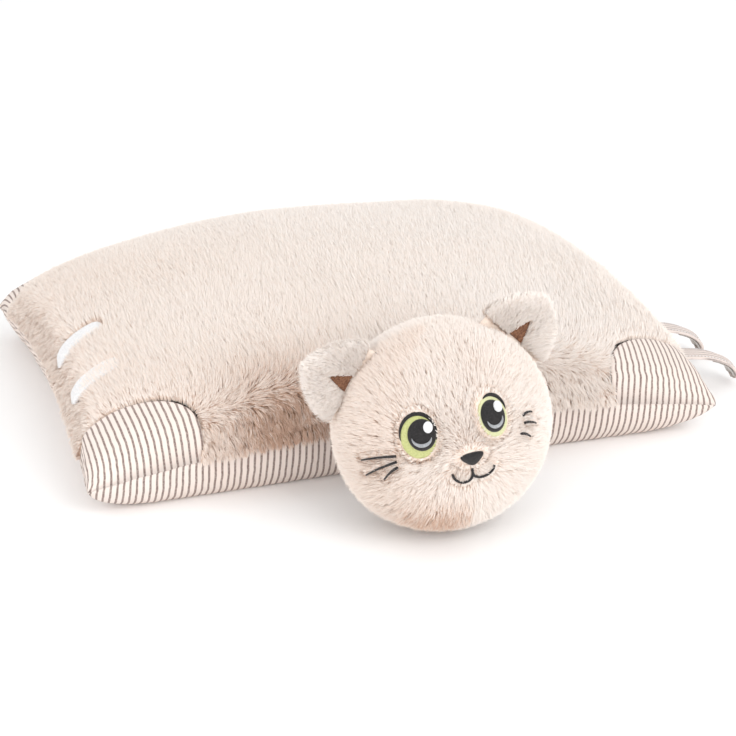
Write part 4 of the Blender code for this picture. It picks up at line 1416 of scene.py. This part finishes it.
# Painted shade: browner under the left cheek, where the head's underside is in shade, and darker
# down the left side of the head.
cheek_painted_shade = np.exp(-(((azimuth + 0.42) / 0.50) ** 2 + ((elevation + 0.72) / 0.38) ** 2))
cheek_painted_shade *= 1 - ease(-0.08, -0.04, azimuth)
side_painted_shade = 0.22 * ease(0.2, 1.0, -azimuth) * (1 - ease(1.6, 2.2, -azimuth))
tone = 0.26 + 0.58 * cheek_painted_shade + side_painted_shade + 0.03 * ripple(local, 0.007, 15)
tone = tone + 0.06 * ripple(local, 0.05, 16)
tone = tone + rng.normal(0, 1.0, len(local)) * (0.05 + 0.16 * cheek_painted_shade)
width = rng.uniform(0.36, 0.58, len(local)) * MM
pull = 0.12 + 0.18 * shaved
for tufts in pile("head_pile", to_world(local), normal @ HEAD_TURN.T, comb @ HEAD_TURN.T, length,
                  width, tone, 5.5 * MM, pull, rng):
    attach(tufts, "head")
    print(tufts.name, len(tufts.data.polygons))

# %% Grow the ears' pile
EAR_BLADES = 21000
EAR_FUR = 7.6 * MM


def near_lining(points):
    """Below 1 inside the triangle of the lining, in the ear's own frame."""
    level = np.clip(points[..., 2] / (0.94 * LINING_HIGH), 0, 1)
    half = 0.88 * LINING_HALF * (1 - level) ** 0.8 + 0.2 * MM
    inside = np.abs(points[..., 0]) / half
    return np.where((points[..., 1] < 0) & (points[..., 2] < 0.91 * LINING_HIGH), inside, 9.0)


for side, sign in FLANKS.items():
    turns = np.linspace(0, 2 * np.pi, 121)
    levels = np.linspace(-1 * MM, 0.999 * EAR_HEIGHT, 61)
    turn, height = scatter(ear_bag, turns, levels, int(EAR_BLADES * PILE_SHARE), rng)
    own, normal = roots_on(ear_bag, turn, height, lambda p: p - (0, 0, 8 * MM), 2e-4)
    keep = near_lining(own) > 1
    own, normal, turn, height = own[keep], normal[keep], turn[keep], height[keep]
    comb = np.stack([own[:, 0] * 14, 0 * height, 0.6 + 0 * height], -1)
    comb += 0.4 * swirls(own, 0.03, 21, 22, 23)
    comb = lie_flat(comb, normal)
    length = EAR_FUR * rng.uniform(0.7, 1.15, len(own))
    length *= 0.55 + 0.45 * ease(1.0, 2.2, near_lining(own))
    tone = 0.12 + 0.06 * ripple(own, 0.007, 25) + rng.normal(0, 0.08, len(own))
    width = rng.uniform(0.40, 0.62, len(own)) * MM
    turned = np.stack(ear_axes(sign)[1:]) @ HEAD_TURN.T
    for tufts in pile(f"ear_{side}_pile", from_ear(sign, own), normal @ turned, unit(comb) @ turned,
                      length, width, tone, 5 * MM, 0.25 + 0 * length, rng):
        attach(tufts, f"ear_{side}")
        print(tufts.name, len(tufts.data.polygons))

# %% [markdown]
# ## Floor, light and camera
#
# The toy lies on a white sweep under soft light: a large lamp above and in front, a second
# one to the left, and an even white surround that keeps the shadows faint.

# %% Floor and lights
FLOOR_SIZE = 12.0
floor_corners = FLOOR_SIZE * np.array([[-1, -1, 0], [1, -1, 0], [1, 1, 0], [-1, 1, 0]])
floor_mesh = fill_mesh("floor", floor_corners, np.array([[0, 1, 2, 3]]))
floor = bpy.data.objects.new("floor", floor_mesh)
bpy.context.scene.collection.objects.link(floor)
paper = Finish("white_paper", (0.97, 0.97, 0.97), 0.9)
floor_mesh.materials.append(paper.material)

sky = bpy.data.worlds.new("soft_room")
sky.use_nodes = True
sky.node_tree.nodes["Background"].inputs[0].default_value = (1.0, 1.0, 1.0, 1.0)
sky.node_tree.nodes["Background"].inputs[1].default_value = 0.98
bpy.context.scene.world = sky


def soft_light(name, place, target, size, power):
    """A square lamp that faces a point."""
    lamp = bpy.data.lights.new(name, "AREA")
    lamp.size = size
    lamp.energy = power
    holder = bpy.data.objects.new(name, lamp)
    bpy.context.scene.collection.objects.link(holder)
    holder.location = place
    holder.rotation_euler = (Vector(target) - Vector(place)).to_track_quat("-Z", "Y").to_euler()
    return holder


soft_light("key_light", (0.5, -1.5, 1.0), (0, 0, 0.03), 1.1, 13.0)
soft_light("fill_light", (-1.4, -1.2, 0.7), (0, -0.05, 0.05), 1.2, 9.0)
print("floor", 2 * FLOOR_SIZE, "m across, two lamps")

# %% Camera
camera = bpy.data.cameras.new("camera")
camera.sensor_width = 36.0
camera.lens = 101.546
eye = bpy.data.objects.new("camera", camera)
bpy.context.scene.collection.objects.link(eye)
AZIMUTH, ELEVATION = 0.321, 0.395
ahead = Vector((math.sin(AZIMUTH) * math.cos(ELEVATION), math.cos(AZIMUTH) * math.cos(ELEVATION),
                -math.sin(ELEVATION)))
eye.location = (-0.43324, -1.37692, 0.61277)
eye.rotation_euler = ahead.to_track_quat("-Z", "Y").to_euler()
bpy.context.scene.camera = eye
bpy.context.scene.view_settings.view_transform = "Standard"
bpy.context.scene.cycles.diffuse_bounces = 8
print("camera looks along", [round(c, 3) for c in ahead])
